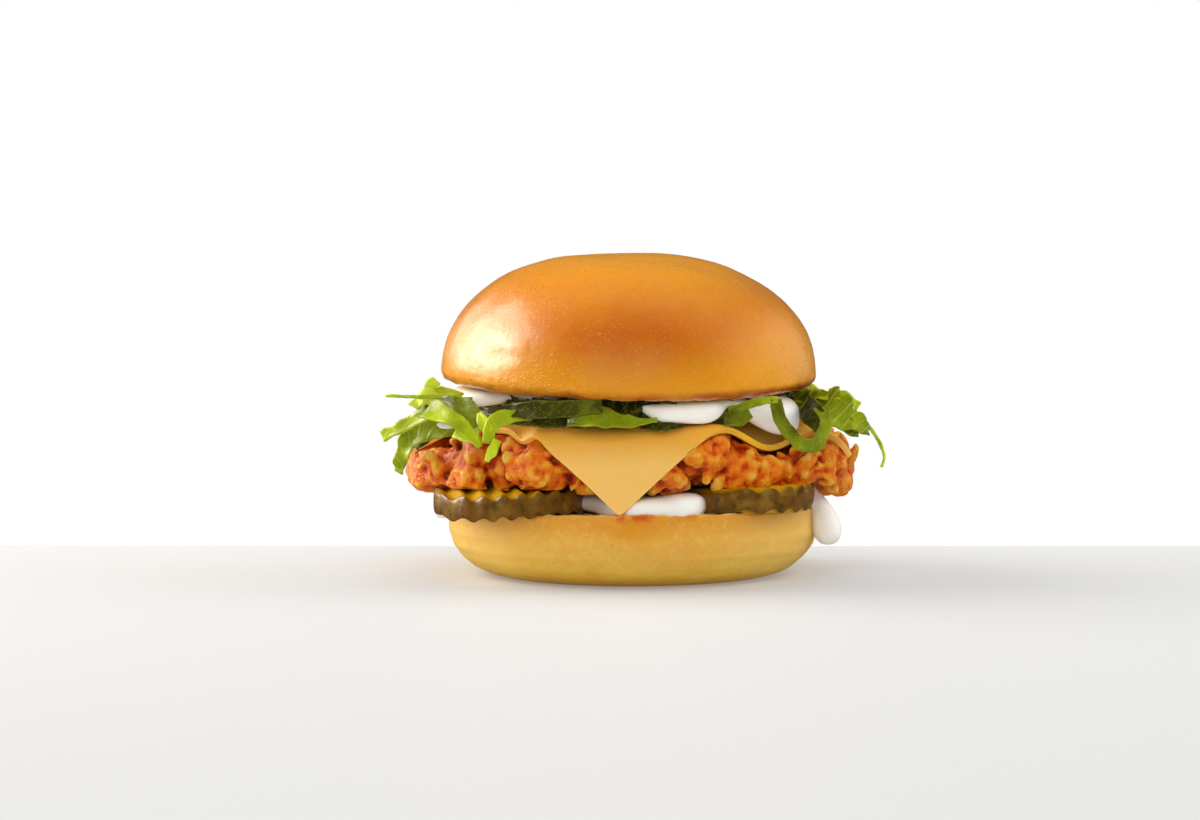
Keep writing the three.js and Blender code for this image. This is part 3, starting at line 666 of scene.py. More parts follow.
def buildCheese(crust):
    piece, grid = gridStart("cheeseSliceSoft", cheese["steps"], cheese["steps"])
    u, v = grid[:, 0] + 0.5, grid[:, 1] + 0.5
    # rounded corners: points near a corner are drawn in
    for cornerU, cornerV in ((0, 0), (0, 1), (1, 0), (1, 1)):
        away = np.hypot(u - cornerU, v - cornerV)
        pull = 0.006 * np.exp(-((away / 0.012) ** 2))
        u = u + pull * (0.5 - cornerU) * 2
        v = v + pull * (0.5 - cornerV) * 2
    points = slicePoints(u, v)
    x, y, z = points.T  # what is added to these moves the points
    z += 0.25 * lumps(points, 14, 21)
    # a small wave where the left edge meets the fold
    z -= 3.2 * hill(x, y, -32.2, -44, 3.2, 5)
    z += 1.3 * hill(x, y, -27.6, -46, 2.6, 4)
    y += 0.35 * lumps(points, 16, 22) * smoothstep(-y, 44, 50)
    # the right corner falls over the end of the fillet, and lies on its crust
    limp = smoothstep(u - v, 0.76, 1)
    y -= 9 * limp
    z -= 5.5 * limp
    gap = cheese["thickness"] / 2 + 0.1  # from the crust to the middle of the slice
    for _ in range(3):
        lift = np.zeros_like(points)
        for i in np.flatnonzero(limp > 0):
            spot = Vector(points[i] * mm)
            near, normal = crust.find_nearest(spot)[:2]
            outside = (spot - near).dot(normal) / mm
            if outside < gap:
                lift[i] = normal * (gap - outside)
        setPoints(piece, points)
        lift = smoothed(piece, lift, 6) * 1.3
        points = points + lift
    setPoints(piece, smoothed(piece, points, 2))
    x, y, z = getPoints(piece).T
    # painted shade: the fold and the slice above it are painted a deeper orange, where shade
    # falls under the lettuce and the crown
    paint(piece, "folded", smoothstep(z, 34, 44))
    # painted light: the trough under the sauce at the right is painted brighter, against the
    # shade there
    paint(piece, "trough", hill(x, y, 38, -38, 13, 16))
    applyModifier(piece, "SOLIDIFY", thickness=cheese["thickness"] * mm, offset=0)
    bevel = {"width": 0.5 * mm, "segments": 3, "angle_limit": 60 * degree}
    applyModifier(piece, "BEVEL", limit_method="ANGLE", **bevel)
    look = Look("cheese", IOR=1.45)
    look.letIn(0.35, (1.0, 0.55, 0.15), 0.003)
    look.base = look.mix(look.noise(18, 2), tint(252, 200, 112), tint(246, 190, 92))
    look.cover(look.fade(look.noise(2, 3), 0.55, 0.8) * 0.25, 255, 218, 144)
    # painted shade over the fold and the top of the slice
    look.cover(look.painted("folded") * 0.75, 232, 162, 30)
    # painted light in the shaded trough
    look.cover(look.painted("trough"), 255, 196, 36)
    skin = look.noise(0.8, 3) * 0.4 + look.noise(5, 2)
    material = look.feed(
        Roughness=0.38 + look.noise(6, 3) * 0.14,
        Normal=look.bump(skin, 0.15, 0.5),
    )
    finishPiece(piece, "cheese_slice", material)


# The pickles.
pickles = [
    {"node": "pickle_front_left", "x": -34.8, "y": -27.5, "radius": 22, "lean": 0.2, "ribs": 8},
    {"node": "pickle_front_right", "x": 33.6, "y": -27.4, "radius": 17.8, "lean": -5, "ribs": 58},
    {"node": "pickle_back_left", "x": -27.5, "y": 29, "radius": 20, "lean": 2.4, "ribs": 40},
    {"node": "pickle_back_right", "x": 29.5, "y": 28, "radius": 20.5, "lean": 2.2, "ribs": 118},
]
crinkle = {"length": 5.2, "relief": 0.7, "corner": 0.9}  # the wave, and the rounded rim


def pickleLook():
    look = Look("pickle", IOR=1.4, Coat_Roughness=0.12)
    look.letIn(0.1, (1.0, 0.6, 0.05), 0.001)
    flesh = look.mix(look.noise(5, 3), tint(218, 176, 4), tint(186, 142, 2))
    seeds = look.fade(look.cells(4.2), 0.3, 0.16) * look.fade(look.painted("inward"), 0.4, 0.6)
    flesh = look.mix(seeds * 0.6, flesh, tint(214, 178, 70))
    rind = look.mix(look.noise(2.4, 4), tint(132, 88, 14), tint(84, 56, 4))
    rind = look.mix(look.fade(look.noise(6, 2), 0.5, 0.7) * 0.5, rind, tint(156, 116, 30))
    rind = look.mix(look.fade(look.noise(3.2, 3), 0.48, 0.66) * 0.6, rind, tint(62, 38, 2))
    look.base = look.mix(look.painted("rind"), flesh, rind)
    skin = look.noise(1.6, 3) + look.noise(5, 2)
    return look.feed(
        Roughness=0.28 + look.noise(3, 2) * 0.2,
        Coat_Weight=look.noise(7) * 0.5,
        Normal=look.bump(skin, 0.35, 0.6),
    )


def buildPickles():
    material = pickleLook()
    waveLength, relief, corner = crinkle["length"], crinkle["relief"], crinkle["corner"]
    thick = stack["pickleThickness"] / 2
    edge = 16 * degree  # pitch above which a point lies on a flat face
    for pickle in pickles:
        piece, angle, pitch = roundStart(pickle["node"] + "_slice", 200, 90)
        radius = pickle["radius"]
        flat = np.clip((np.abs(pitch) - edge) / (math.pi / 2 - edge), 0, 1)
        rounding = np.clip(np.abs(pitch) / edge, 0, 1) * math.pi / 2
        reach = np.where(flat > 0, (radius - corner) * (1 - flat), 0)
        reach = np.where(flat > 0, reach, radius - corner + corner * np.cos(rounding) ** 0.5)
        height = np.where(flat > 0, thick, thick * np.sin(rounding) ** 0.8) * np.sign(pitch)
        ridge = 0.3 * np.cos(turn * radius * np.cos(angle) / waveLength) * (reach / radius) ** 8
        uneven = 1 + 0.02 * np.sin(2 * angle + pickle["x"]) + ridge / radius
        x, y = reach * np.cos(angle) * uneven, reach * np.sin(angle) * uneven
        height = height + relief * np.cos(turn * x / waveLength)
        x, y = turned(x, y, pickle["ribs"] * degree)
        outward = math.atan2(pickle["y"], pickle["x"])
        away = x * math.cos(outward) + y * math.sin(outward)
        lean = pickle["lean"] * degree
        z = stack["pickleFloor"] + thick + relief + height - away * math.sin(lean)
        x, y = x + pickle["x"], y + pickle["y"]
        past = np.hypot(x, y) - 50
        z = z - 0.007 * np.maximum(0, past) ** 2
        z = z + 0.16 * lumps(np.array([x, y, z]).T, 3, 30)
        floor = heelTop(x, y) + 0.15
        onHeel = smoothstep(np.hypot(x, y), 53.4, 51.5)
        z = np.where((onHeel > 0) & (z < floor), lerp(z, floor, onHeel), z)
        points = np.array([x, y, z]).T
        setPoints(piece, points)
        rind = 1 - smoothstep(np.abs(pitch), 0.7 * edge, 1.5 * edge)
        paint(piece, "rind", rind)
        paint(piece, "inward", 1 - np.hypot(x - pickle["x"], y - pickle["y"]) / radius)
        finishPiece(piece, pickle["node"], material)


buildPickles()

# The sauce.
sauceVoxel = 0.7
lowerPool = {
    "radius": 40,
    "uneven": 0.6,
    "lobes": [
        {"angle": -82, "wide": 20, "reach": 12.6, "sag": 2.0, "swell": 2.4},
        {"angle": -71, "wide": 7, "reach": 1.5, "sag": -0.8, "swell": 0.8},
        {"angle": -12, "wide": 13, "reach": 14.5, "sag": 1.4, "swell": -0.6},
        {"angle": 165, "wide": 9, "reach": 19, "sag": 5.6, "swell": 1.4},
        {"angle": 92, "wide": 17, "reach": 12.4, "sag": 0, "swell": 0.6},
    ],
}
# a dab that fell on the lettuce at the left
strayDab = {"place": (-53, -33.5, 45.8), "half": (3.6, 1.5, 1.3)}
sideDrip = {"x": 56, "y": -13, "low": 9.2, "high": 29, "radius": 4.9, "drawn": 6.5}
upperPool = {
    "radius": 45,
    "uneven": 0.8,
    "lobes": [
        {"angle": -71.5, "wide": 14.5, "reach": 8, "sag": 2.4, "swell": 2.8},
        {"angle": -158, "wide": 16, "reach": 9.5, "sag": 1.6, "swell": 1.9},
        {"angle": -33, "wide": 15, "reach": 8.8, "sag": 5.6, "swell": 5.4},
        {"angle": 38, "wide": 13, "reach": 6.5, "sag": 1.6, "swell": 1.4},
        {"angle": 118, "wide": 16, "reach": 6.4, "sag": 1.4, "swell": 1.2},
    ],
}


def poolPoints(pool, angle, pitch, low, high):
    across = np.maximum(np.cos(pitch), 0) ** 0.5
    up = np.sign(pitch) * np.abs(np.sin(pitch)) ** 0.5
    reach = pool["radius"] + pool["uneven"] * np.sin(7 * angle + 0.5)
    sag = swell = 0.0
    for lobe in pool["lobes"]:
        off = (angle / degree - lobe["angle"] + 180) % 360 - 180
        share = np.exp(-((off / lobe["wide"]) ** 4))
        reach = reach + lobe["reach"] * share
        sag = sag + lobe["sag"] * share
        swell = swell + lobe["swell"] * share
    x, y = reach * across * np.cos(angle), reach * across * np.sin(angle)
    outer = smoothstep(across, 0.72, 1)
    bottom, top = low(x, y), high(x, y)
    half = (top - bottom) / 2 + swell * outer
    return np.array([x, y, (bottom + top) / 2 - sag * outer + half * up]).T


def sauceLook():
    look = Look("whiteSauce", IOR=1.46)
    look.letIn(0.5, (1.0, 0.8, 0.6), 0.003)
    look.base = look.mix(look.noise(10, 2), tint(250, 247, 240), tint(246, 240, 228))
    skin = look.noise(6, 2) + look.noise(1.6, 2) * 0.15
    return look.feed(
        Roughness=0.2 + look.noise(8, 2) * 0.1,
        Normal=look.bump(skin, 0.3, 0.4),
    )


def pourPool(name, segments, pool, low, high, seed, spread):
    piece, angle, pitch = roundStart(name, segments, 60)
    points = poolPoints(pool, angle, pitch, low, high)
    setPoints(piece, points + (0.8 * lumps(points, 8, seed))[:, None] * spread)
    return piece


def meltPool(name, parts, node, material):  # the parts run together, with no edge left
    piece = joinPieces(parts, name)
    applyModifier(piece, "REMESH", mode="VOXEL", voxel_size=sauceVoxel * mm)
    setPoints(piece, smoothed(piece, getPoints(piece), 4))
    finishPiece(piece, node, material)


def buildSauce():
    material = sauceLook()
    lower = pourPool(
        "sauceLowerPool", 220, lowerPool,
        lambda x, y: heelTop(x, y) + 0.2, lambda x, y: stack["filletFloor"] - 0.2,
        31, [0.2, 0.6, 0.5],
    )
    drip, angle, pitch = roundStart("sauceDrip", 64, 60)
    share = (pitch + math.pi / 2) / math.pi
    swell = np.sin(math.pi * share**0.62) ** 0.75 * (1 - 0.35 * share)
    swell = np.maximum(np.nan_to_num(swell), 0)
    x = sideDrip["radius"] * swell * np.cos(angle) + sideDrip["x"]
    y = sideDrip["radius"] * swell * np.sin(angle) + sideDrip["y"]
    x = x - sideDrip["drawn"] * share * share
    z = lerp(sideDrip["low"], sideDrip["high"], share)
    setPoints(drip, np.array([x, y, z]).T)
    meltPool("sauceLowerPool", [lower, drip], "sauce_lower", material)

    upper = pourPool(
        "sauceUpperPool", 260, upperPool,
        lambda x, y: crownFace(x, y) - 3.6, lambda x, y: crownFace(x, y) - 0.2,
        32, [0.5, 0.5, 0.7],
    )
    dab = roundStart("sauceDab", 48, 24)[0]
    setPoints(dab, getPoints(dab) * strayDab["half"] + strayDab["place"])
    meltPool("sauceUpperPool", [upper, dab], "sauce_upper", material)


buildSauce()

# The fried fillet.
fillet = {"width": 93, "nubs": 84, "flakes": 150, "voxel": 0.68}


def filletOutline(angle):
    power = 2.3
    oblong = (np.abs(np.cos(angle)) / (stack["filletLength"] / 2)) ** power + (
        np.abs(np.sin(angle)) / (fillet["width"] / 2)
    ) ** power
    lobes = (
        1.3 * np.sin(3 * angle + 1) + 1.1 * np.sin(5 * angle + 2.2) + 0.7 * np.sin(9 * angle)
    )
    lobes = lobes - 3.4 * np.exp(-((angle / 0.6) ** 2))
    return oblong ** (-1 / power) + lobes


def filletUpper(x, y):
    return filletDome(x, y) + 0.8 * unevenness(x / 9, y / 9, 0)


def filletLower(x, y):
    overhang = smoothstep(np.abs(x), 47, 64)
    return stack["filletFloor"] - 4.8 * overhang + 0.5 * unevenness(x / 8, y / 8, 4)


def filletSkin(angle, pitch, grow=0):
    across = np.maximum(np.cos(pitch), 0) ** (2 / 3)
    up = np.sign(pitch) * np.abs(np.sin(pitch)) ** (2 / 3)
    reach = (filletOutline(angle) + grow) * across
    x, y = reach * np.cos(angle), reach * np.sin(angle)
    middle = (filletUpper(x, y) + filletLower(x, y)) / 2
    face = np.where(up > 0, filletUpper(x, y) + grow, filletLower(x, y) - grow)
    return np.array([x, y, middle + np.abs(up) * (face - middle)]).T


def crustRelief(points):
    seeds = np.arange(fillet["nubs"])
    pitches = lerp(-58, 58, chance(seeds + 0.5)) * degree
    centres = filletSkin(seeds * goldenAngle, pitches)
    radii = lerp(5, 10, chance(seeds + 40.2) ** 1.4)
    heights = radii * lerp(0.42, 0.72, chance(seeds + 7.7))
    sinks = lerp(0.8, 2.4, chance(seeds + 3.1))
    relief = np.full(len(points), -2.0)
    for centre, radius, height, sink in zip(centres, radii, heights, sinks):
        share = np.linalg.norm(points - centre, axis=1) / radius
        nub = height * np.sqrt(np.maximum(0, 1 - share * share)) - sink
        relief = np.where(share < 1, np.maximum(relief, nub), relief)
    x, y, z = points.T / 3
    return relief + 0.4 * unevenness(x, y, z)


def pressCrust(points):
    x, y, z = points.T
    half = stack["sliceThickness"] / 2
    u, v = turned(x - cheese["cornerX"], y - cheese["cornerY"], -cheese["turn"])
    u, v = u / cheese["side"], v / cheese["side"]
    covered = (u > -0.01) & (u < 1.01) & (v > -0.01) & (v < 1.01) & (u - v < 0.8)
    roof = sliceHeight(x, np.maximum(y, -foldLine(x))) - half - 0.25
    z = np.where(covered, np.minimum(z, roof), z)
    # behind the hanging corner
    front = -foldLine(x) - cheese["foldRadius"] + half + 0.5
    low = 21 + 1.02 * np.abs(x - cheese["cornerX"])
    behind = (y < front) & (z > low) & (np.abs(x - cheese["cornerX"]) < 34)
    y = np.where(behind, np.maximum(y, front + 0.02 * (y - front)), y)
    # above the pickles
    for pickle in pickles:
        gap = np.hypot(x - pickle["x"], y - pickle["y"]) - pickle["radius"]
        above = z - stack["pickleFloor"] - stack["pickleThickness"] - 0.9
        settled = np.interp(above, [-10, 0, 2, 12, 60], [-3, 0, 0.9, 12, 60])
        z = z + (settled - above) * smoothstep(-gap, -1.5, 1)
    # the right-hand end is blunt and hangs down
    blunt = 61
    z = z - 1.4 * hill(x, y, 58, -14, 7, 16) * smoothstep(-z, -36, -30)
    x = np.where(x > blunt, blunt + 0.65 * (x - blunt), x)
    return np.array([x, y, z]).T


def dentCrust(piece, size, depth, level):  # cells of that size in mm, with grooves between
    texture = bpy.data.textures.new(f"cells{size}", "VORONOI")
    texture.noise_scale = size * mm
    texture.distance_metric = "DISTANCE_SQUARED"
    applyModifier(
        piece, "DISPLACE", texture=texture, texture_coords="LOCAL",
        strength=-depth * mm, mid_level=level,
    )


def buildFillet():
    piece, angle, pitch = roundStart("friedFillet", 300, 110)
    relief = crustRelief(filletSkin(angle, pitch))
    setPoints(piece, filletSkin(angle, pitch, relief))
    flakes = []
    for i in range(fillet["flakes"]):
        flakeAngle = (i * goldenAngle) % turn
        flakePitch = lerp(-40, 44, chance(i + 200.5)) * degree
        centre = filletSkin(np.array([flakeAngle]), np.array([flakePitch]), 0.6)[0]
        ball = bpy.ops.mesh.primitive_ico_sphere_add
        flake = startWith("flake", ball, subdivisions=2, radius=mm)
        size = lerp(1.6, 4.4, chance(i + 201.3) ** 1.5)
        shape = getPoints(flake)
        shape = shape * (1 + 0.35 * lumps(shape + i * 3.7, 0.9, 40))[:, None]
        shape = shape * [size * lerp(0.8, 1.7, chance(i + 202.1)), size * 0.8, size * 0.6]
        spin = chance(i + 203.9) * turn
        tip = lerp(-0.9, 0.9, chance(i + 204.4))
        facing = Vector((math.cos(flakeAngle), math.sin(flakeAngle), tip))
        swing = Vector((0, 0, 1)).rotation_difference(facing)
        frameX = swing @ Vector((math.cos(spin), math.sin(spin), 0))
        frameY = swing @ Vector((-math.sin(spin), math.cos(spin), 0))
        frameZ = swing @ Vector((0, 0, 1))
        setPoints(flake, shape @ np.array([frameX, frameY, frameZ]) + centre)
        flakes.append(flake)
    piece = joinPieces([piece] + flakes, "friedFillet")
    applyModifier(piece, "REMESH", mode="VOXEL", voxel_size=fillet["voxel"] * mm)
    dentCrust(piece, 7.6, 2.7, 0.4)
    dentCrust(piece, 3.4, 0.9, 0.4)
    setPoints(piece, smoothed(piece, getPoints(piece), 1))
    applyModifier(piece, "REMESH", mode="VOXEL", voxel_size=fillet["voxel"] * mm)
    dentCrust(piece, 2.3, 0.5, 0.35)
    points = getPoints(piece)
    normals = getNormals(piece)
    fine = 0.3 * lumps(points, 1.5, 41) + 0.5 * lumps(points, 2.9, 42)
    fine += 0.35 - 0.8 * np.abs(lumps(points, 5.4, 43)) ** 0.7
    points = pressCrust(points + normals * fine[:, None])
    setPoints(piece, points)
    normals = getNormals(piece)
    for name, rounds, depth in (("crestFine", 5, 0.3), ("crestBroad", 36, 1.3)):
        level = ((points - smoothed(piece, points, rounds)) * normals).sum(axis=1)
        paint(piece, name, np.clip(0.5 + 0.5 * level / depth, 0, 1))
    look = Look("friedCrust", IOR=1.4, Coat_Roughness=0.12)
    look.letIn(0.12, (1.0, 0.35, 0.1), 0.002)
    # darker red in the hollows and paler on the crests: partly the crust's own colour, partly
    # painted shade in the hollows
    level = look.painted("crestBroad") * 0.55 + look.painted("crestFine") * 0.45
    grit = look.noise(0.8, 4, 0.7)
    level = level + (look.noise(8, 4, 0.6) - 0.5) * 0.4 + (grit - 0.5) * 0.3
    look.base = look.ramp(
        level,
        (0.22, 134, 24, 0), (0.38, 214, 70, 0), (0.52, 242, 112, 4),
        (0.7, 253, 148, 16), (0.92, 255, 194, 66),
    )
    patches = look.fade(look.noise(17, 2), 0.45, 0.65)
    look.cover(patches * 0.2, 222, 80, 2)
    crumbs = look.fade(look.cells(1.7), 0.42, 0.1) * look.fade(look.noise(6, 3), 0.3, 0.6)
    look.cover(crumbs * 0.4, 255, 170, 48)
    specks = look.fade(look.cells(2.1), 0.13, 0.05) * look.fade(look.noise(5), 0.5, 0.62)
    look.cover(specks * 0.8, 120, 30, 6)
    skin = grit * 1.4 + look.noise(1.8, 4, 0.6) * 1.3 + crumbs * 0.8
    material = look.feed(
        Roughness=0.3 + look.noise(2.4, 3) * 0.3,
        Coat_Weight=look.noise(5, 2) * 0.3,
        Normal=look.bump(skin, 0.6, 1.0),
    )
    finishPiece(piece, "chicken_fillet", material)
    return BVHTree.FromPolygons(
        [vertex.co.copy() for vertex in piece.data.vertices],
        [tuple(face.vertices) for face in piece.data.polygons],
    )


buildCheese(buildFillet())

# The shredded lettuce.
lettuce = {
    # the dark shreds all round are painted shade under the crown
    "ragged": 64,  # dark shreds all round
    "hanging": 40,  # longer ones at the sides and back
    "thickness": 0.5,
    "stepAlong": 0.9,  # from point to point of the mesh
    "stepAcross": 0.8,
}


def leaf(path, width, facing, shade, ruffle=0.35, ribbed=0.15, point=False):
    return dict(
        path=path,
        width=width,  # at its root, middle and tip
        facing=facing,
        shade=shade,  # from dark to pale
        ruffle=ruffle,
        ribbed=ribbed,
        point=point,
    )


shownShreds = [
    # left: a thin strand, pale frills at the bun's edge, a cut strip, a hanging leaf
    leaf([(-46, -40, 53.4), (-52, -38, 54), (-60, -36, 54), (-70.6, -33, 54.2)],
     (1.6, 1.2, 0.6), (0, -1, 0.4), 0.6),
    leaf([(-50, -27, 52), (-55, -30, 54.2), (-57.4, -31, 56.6), (-56.2, -31, 58.4)],
     (5, 5, 3), (-0.3, -1, 0.1), 0.86, ruffle=1.1),
    leaf([(-51, -30, 52.4), (-57.4, -31, 53.4), (-61, -31, 52.6), (-62.6, -30, 50.6)],
     (4.6, 4.6, 3), (0, -1, 0.5), 1.0, ruffle=1.2),
    leaf([(-48, -31, 50.4), (-56.4, -34, 49.2), (-61.8, -32, 47.4), (-66.4, -30, 44.6),
              (-71.4, -28, 41.8)],
     (4.8, 4.2, 3.6), (-0.2, -1, 0.6), 0.56),
    leaf([(-46, -25, 45.6), (-53.6, -28, 44.4), (-59.4, -27, 43.4), (-63.4, -25.6, 41.2),
              (-65.6, -24, 37.6), (-66.6, -22.6, 33.8), (-67.4, -21.6, 31)],
     (5.4, 5.8, 3), (-0.3, -1, 0.3), 0.52, ruffle=0.7,
     ribbed=0.7),
    leaf([(-58.6, -38, 50.6), (-54.8, -42, 49.9), (-50.6, -45, 48), (-47.2, -46.6, 45.2),
              (-44.8, -47.6, 42.6), (-43.4, -48, 40.8)],
     (6.8, 4, 1.6), (0.15, -1, 0.35), 0.66),
    leaf([(-55, -38, 53), (-50, -41.6, 52.4), (-46, -44, 50.4), (-44, -45.6, 46.6)],
     (3, 5.6, 4.4), (-0.6, -1, 0.6), 0.4),
    leaf([(-29, -46, 49.4), (-34, -48, 49.6), (-38.4, -49, 48.6), (-40.8, -49.6, 45.8),
              (-41.4, -50, 42)],
     (2.6, 4.8, 3.2), (0.3, -1, 0.3), 0.62),
    leaf([(-43.6, -46.4, 50.4), (-42.4, -48.6, 47.8), (-40.6, -49.8, 45)],
     (1.8, 3.4, 3), (-0.3, -1, 0.1), 0.66),
    leaf([(-50.4, -43, 45), (-47.4, -44.4, 44.2), (-44, -45.6, 43.6)],
     (4.4, 5, 4.2), (0, -1, 0.3), 1.0, ribbed=1.0),
    leaf([(-38.6, -49.6, 43), (-40.2, -50.4, 39.8), (-41.6, -50.4, 36.8)],
     (2.4, 2.8, 0.9), (0.2, -1, 0.3), 0.9, ribbed=0.8),
    leaf([(-58, -24, 46), (-60, -26, 42), (-62, -25, 38.4)],
     (5, 5, 2), (-0.6, -1, 0.1), 0.2, ruffle=0.8),
    # front: a dark band under the bun and near-black strips behind and below it, painted shade in
    # the gap under the bun, and a paler torn leaf on the cheese
    leaf([(-37, -46.8, 51), (-30.5, -49, 51.4), (-20, -51, 51.9), (-9, -51.5, 52.8)],
     (3.6, 5, 3.4), (0, -1, 0.15), 0.2),
    leaf([(-36, -44, 48.6), (-26, -47, 47.9), (-14, -48, 47.6)],
     (3.2, 3.6, 3), (0, -1, 0.4), 0.1),
    leaf([(-18.8, -50, 47.8), (-13.4, -51.4, 48.6), (-8, -52, 49.2), (-1.6, -52, 48.4),
              (6.6, -51.8, 48.6)],
     (3, 6, 1.6), (0, -1, 0.7), 0.44, ruffle=0.5),
    leaf([(-14, -46, 51.6), (-2, -47.5, 52), (12, -47, 51.2)],
     (6, 6, 5), (0, -1, 0.1), 0.0),
    leaf([(2, -49.6, 46.9), (8, -50, 46.8), (14, -50, 47.2)],
     (2, 2.6, 1.2), (0, -1, 0.4), 0.06),
    # right: folded bits beside the sauce, a loop, a broad ribbed leaf and a hair
    leaf([(27, -46.4, 51), (32, -47, 52.6), (36, -45, 53.6), (40.8, -42.4, 53.6)],
     (2.2, 2.2, 1.8), (0.3, -1, 0.3), 0.46),
    leaf([(25.6, -46.6, 48.4), (29.9, -48, 49.2), (33, -47, 50.6)],
     (3.4, 4.8, 3), (0.2, -1, 0.4), 0.3),
    leaf([(40.4, -42.6, 54), (40.8, -43.4, 50.8), (42.2, -43.8, 47), (44.6, -43.4, 43.6),
              (47.8, -42, 41), (50.4, -40.4, 40.4), (52.8, -38, 41.6), (54.4, -35, 44.6),
              (54.6, -32, 47.6), (53, -28.6, 50)],
     (3.4, 3.9, 3), (0.25, -1, 0.25), 0.36),
    leaf([(39, -8, 48.2), (48, -14, 49), (53.6, -22, 50), (58, -26, 48.8),
              (62.6, -24.8, 46.4), (67.2, -22, 43.4)],
     (5, 12.4, 4), (0.25, -1, 0.45), 0.38, ruffle=1.0,
     ribbed=1.0),
    leaf([(40, -5, 49), (50, -13, 51.6), (56, -21, 53.2), (60.6, -22, 52.6),
              (64.4, -21, 49.8)],
     (3.4, 4, 2.4), (0.2, -1, 0.8), 0.56, ruffle=0.7),
    # painted shade: a near-black strip in the pocket under the broad leaf
    leaf([(50, -21, 50.6), (51.4, -28, 48.6), (54, -29.6, 44.6)],
     (6, 7, 5), (-0.3, -1, 0), 0.08),
    leaf([(57, -25.4, 48), (61.4, -25.6, 44.8), (64.4, -23.6, 43)],
     (5, 5, 3), (0.3, -1, 0.3), 0.3, ribbed=0.6),
    leaf([(63, -24.4, 46.2), (66.8, -20.8, 45), (69.2, -19, 42), (71, -18, 38.4),
              (72, -17, 35), (71.2, -17, 32.2)],
     (1.1, 0.8, 0.5), (0.2, -1, 0.3), 0.74),
]


def fillerShreds():
    shreds = []
    # painted shade: a dark ragged layer all round, between the cheese and the crown, where the
    # crown shades the gap
    for i in range(lettuce["ragged"]):
        angle = i / lettuce["ragged"] * 360 + 6 * chance(i + 300.1)
        level = stack["crownFloor"] - lerp(3.2, 7.2, chance(i + 301.4))
        radius = lerp(42.5, 47.5, chance(i + 302.2))
        half = lerp(8, 17, chance(i + 303.8))
        path = []
        for share in (-1, -0.3, 0.4, 1):
            spot = (angle + half * share) * degree
            dip = lerp(-1.2, 1.2, chance(i + 304.3 + share))
            path.append((radius * math.cos(spot), radius * math.sin(spot), level + dip))
        facing = (math.cos(angle * degree), math.sin(angle * degree), 0.3)
        width = lerp(2.6, 5, chance(i + 305.7))
        shade = 0.04 + 0.3 * chance(i + 306.6)
        shreds.append(leaf(path, (width, width, width * 0.7), facing, shade, ruffle=0.5))
    # longer ones that hang out at the sides and back
    for i in range(lettuce["hanging"]):
        angle = lerp(14, 170, (i + 0.6 * chance(i + 310.2)) / lettuce["hanging"])
        side = abs(math.cos(angle * degree))
        past = lerp(7, 17, chance(i + 311.9)) + 6 * side
        sway = lerp(-16, 16, chance(i + 312.5))
        low = lerp(50, 41, chance(i + 313.3)) - 1.5 * side
        path = []
        for share in (0, 0.35, 0.7, 1):
            spot = (angle + sway * (1 - share)) * degree
            radius = 41 + (past + 2) * math.sin(share * math.pi / 2)
            height = lerp(49.4, low, share**1.7) + 1.6 * math.sin(share * math.pi)
            path.append((radius * math.cos(spot), radius * math.sin(spot), height))
        outward = lerp(0.2, 1.2, chance(i + 314.7))
        facing = (
            math.cos(angle * degree) * outward - math.sin(angle * degree) * 0.5,
            math.sin(angle * degree) * outward + math.cos(angle * degree) * 0.5,
            lerp(0.4, 1.4, chance(i + 315.1)),
        )
        width = lerp(3.4, 9.5, chance(i + 316.8))
        widths = (width * 0.8, width, width * lerp(0.3, 0.9, chance(i + 317)))
        shade = lerp(0.15, 1, chance(i + 318.6))
        ribbed, point = chance(i + 320.3), chance(i + 319.4) > 0.7
        shreds.append(leaf(path, widths, facing, shade, width * 0.1, ribbed, point))
    return shreds


def curveThrough(path, shares):  # a smooth line through the points, at each share of its length
    knots = np.array(path, float)
    knots = np.vstack([2 * knots[0] - knots[1], knots, 2 * knots[-1] - knots[-2]])
    place = np.clip(shares, 0, 1 - 1e-9) * (len(path) - 1)
    start = place.astype(int)
    t = (place - start)[:, None]
    a, b, c, d = (knots[start + k] for k in range(4))
    return 0.5 * (
        2 * b + (c - a) * t + (2 * a - 5 * b + 4 * c - d) * t**2 + (3 * b - a - 3 * c + d) * t**3
    )


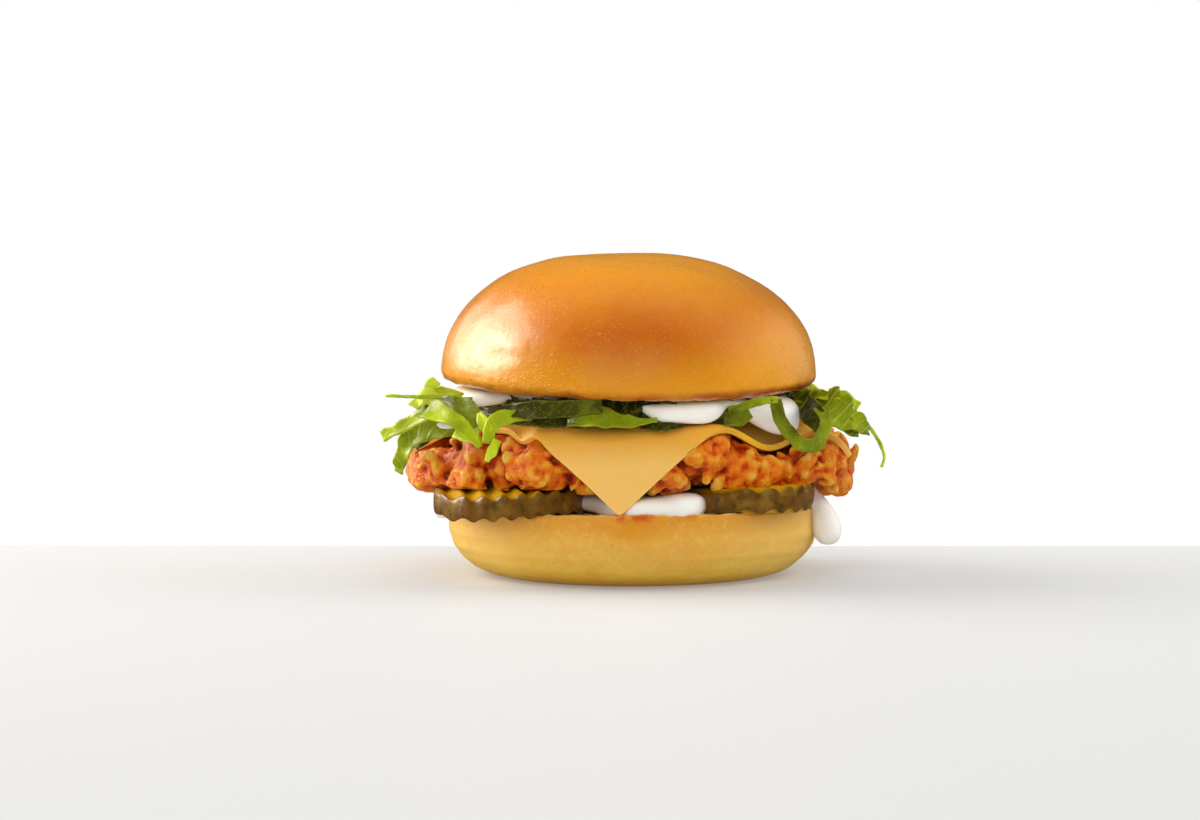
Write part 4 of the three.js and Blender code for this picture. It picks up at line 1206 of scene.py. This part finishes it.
def buildShred(i, shred):
    path = shred["path"]
    length = sum(math.dist(a, b) for a, b in zip(path, path[1:]))
    widest = max(shred["width"])
    stepsU = max(10, int(length / lettuce["stepAlong"]))
    stepsV = max(4, int(widest / lettuce["stepAcross"]))
    piece, grid = gridStart(f"shred{i}", stepsU, stepsV)
    along, across = grid[:, 0] + 0.5, grid[:, 1] * 2
    line = curveThrough(path, along)
    ahead = curveThrough(path, np.minimum(along + 0.02, 1))
    behind = curveThrough(path, np.maximum(along - 0.02, 0))
    forward = unit(ahead - behind)
    side = unit(np.cross(forward, shred["facing"]))
    face = np.cross(side, forward)
    root, middle, tip = shred["width"]
    width = np.where(
        along < 0.5,
        lerp(root, middle, smoothstep(along, 0, 0.5)),
        lerp(middle, tip, smoothstep(along, 0.5, 1)),
    )
    if shred["point"]:
        width = width * (1 - 0.8 * smoothstep(along, 0.8, 1))
    edges = np.array([along * length, across * 1.4, np.full(len(along), 9.0 * i)]).T
    width = width * (1 + 0.16 * lumps(edges, 2.6, 60) + 0.1 * lumps(edges, 1.1, 61))
    ruffle = shred["ruffle"] * np.abs(across) ** 1.5
    rise = ruffle * np.sin(along * length / 1.25 + 1.3 * i + 1.2 * np.sign(across))
    rise = rise + 0.13 * width * across**2 - 0.3 * np.cos(along * length / 4 + i)
    points = line + side * (across * width / 2)[:, None] + face * rise[:, None]
    crumple = 0.16 * lumps(points, 1.5, 50) + 0.4 * lumps(points, 3.6, 51)
    points = points + (crumple * min(widest / 4, 1))[:, None] * face
    setPoints(piece, points)
    paint(piece, "across", across)
    paint(piece, "along", along * length)
    tone = 0.14 * lumps(points, 6, 52) + 0.16 * (along - 0.5)
    paint(piece, "shade", shred["shade"] + tone)
    paint(piece, "ribbed", np.full(len(points), shred["ribbed"]))
    return piece


def leafLook():
    look = Look("lettuce", IOR=1.34, Coat_Roughness=0.15)
    look.letIn(0.25, (0.8, 1.0, 0.1), 0.001)
    across, along = look.painted("across"), look.painted("along")
    outward = look.node("ShaderNodeMath", {"operation": "ABSOLUTE"}, {0: across})
    ribbed = look.painted("ribbed")
    shade = (look.painted("shade") + (look.noise(5, 3) - 0.5) * 0.3).held()
    # the darkest end of this scale, near black, is painted shade for the strips in the gaps under
    # the bun
    look.base = look.ramp(
        shade,
        (0.0, 18, 18, 0), (0.22, 70, 68, 0), (0.5, 136, 152, 0),
        (0.75, 194, 212, 8), (1.0, 222, 234, 84),
    )
    # pale ribs run across the strip at a slant, with finer veins between them
    slant = along * 0.24 + across * 0.55 + (look.noise(7) - 0.5) * 0.5
    wave = look.node("ShaderNodeMath", {"operation": "PINGPONG"}, {0: slant, 1: 0.5})
    rib = look.fade(wave, 0.15, 0.0) * ribbed
    fine = look.node("ShaderNodeMath", {"operation": "PINGPONG"}, {0: slant * 3.7, 1: 0.5})
    veins = look.fade(fine, 0.14, 0.0) * 0.5
    edge = look.fade(outward, 0.86, 1.0) * 0.16
    pale = look.mix(shade, tint(132, 138, 20), tint(212, 222, 84))
    look.base = look.mix((veins * 0.25 + rib * 0.75 + edge).held(), look.base, pale)
    look.cover(look.fade(look.cells(1.1), 0.5, 0.2) * 0.1, 190, 200, 50)
    skin = look.noise(1.3, 3) * 0.8 + rib * 1.2 + veins * 0.6 + look.cells(1.4) * 0.5
    return look.feed(
        Roughness=0.28 + look.noise(2, 2) * 0.2,
        Coat_Weight=0.05 + look.noise(6, 2) * 0.35,
        Normal=look.bump(skin, 0.3, 0.6),
    )


def buildLettuce():
    shreds = shownShreds + fillerShreds()
    pieces = [buildShred(i, shred) for i, shred in enumerate(shreds)]
    leaves = joinPieces(pieces, "lettuceLeaves")
    applyModifier(leaves, "SOLIDIFY", thickness=lettuce["thickness"] * mm, offset=0)
    finishPiece(leaves, "lettuce_shreds", leafLook())


buildLettuce()
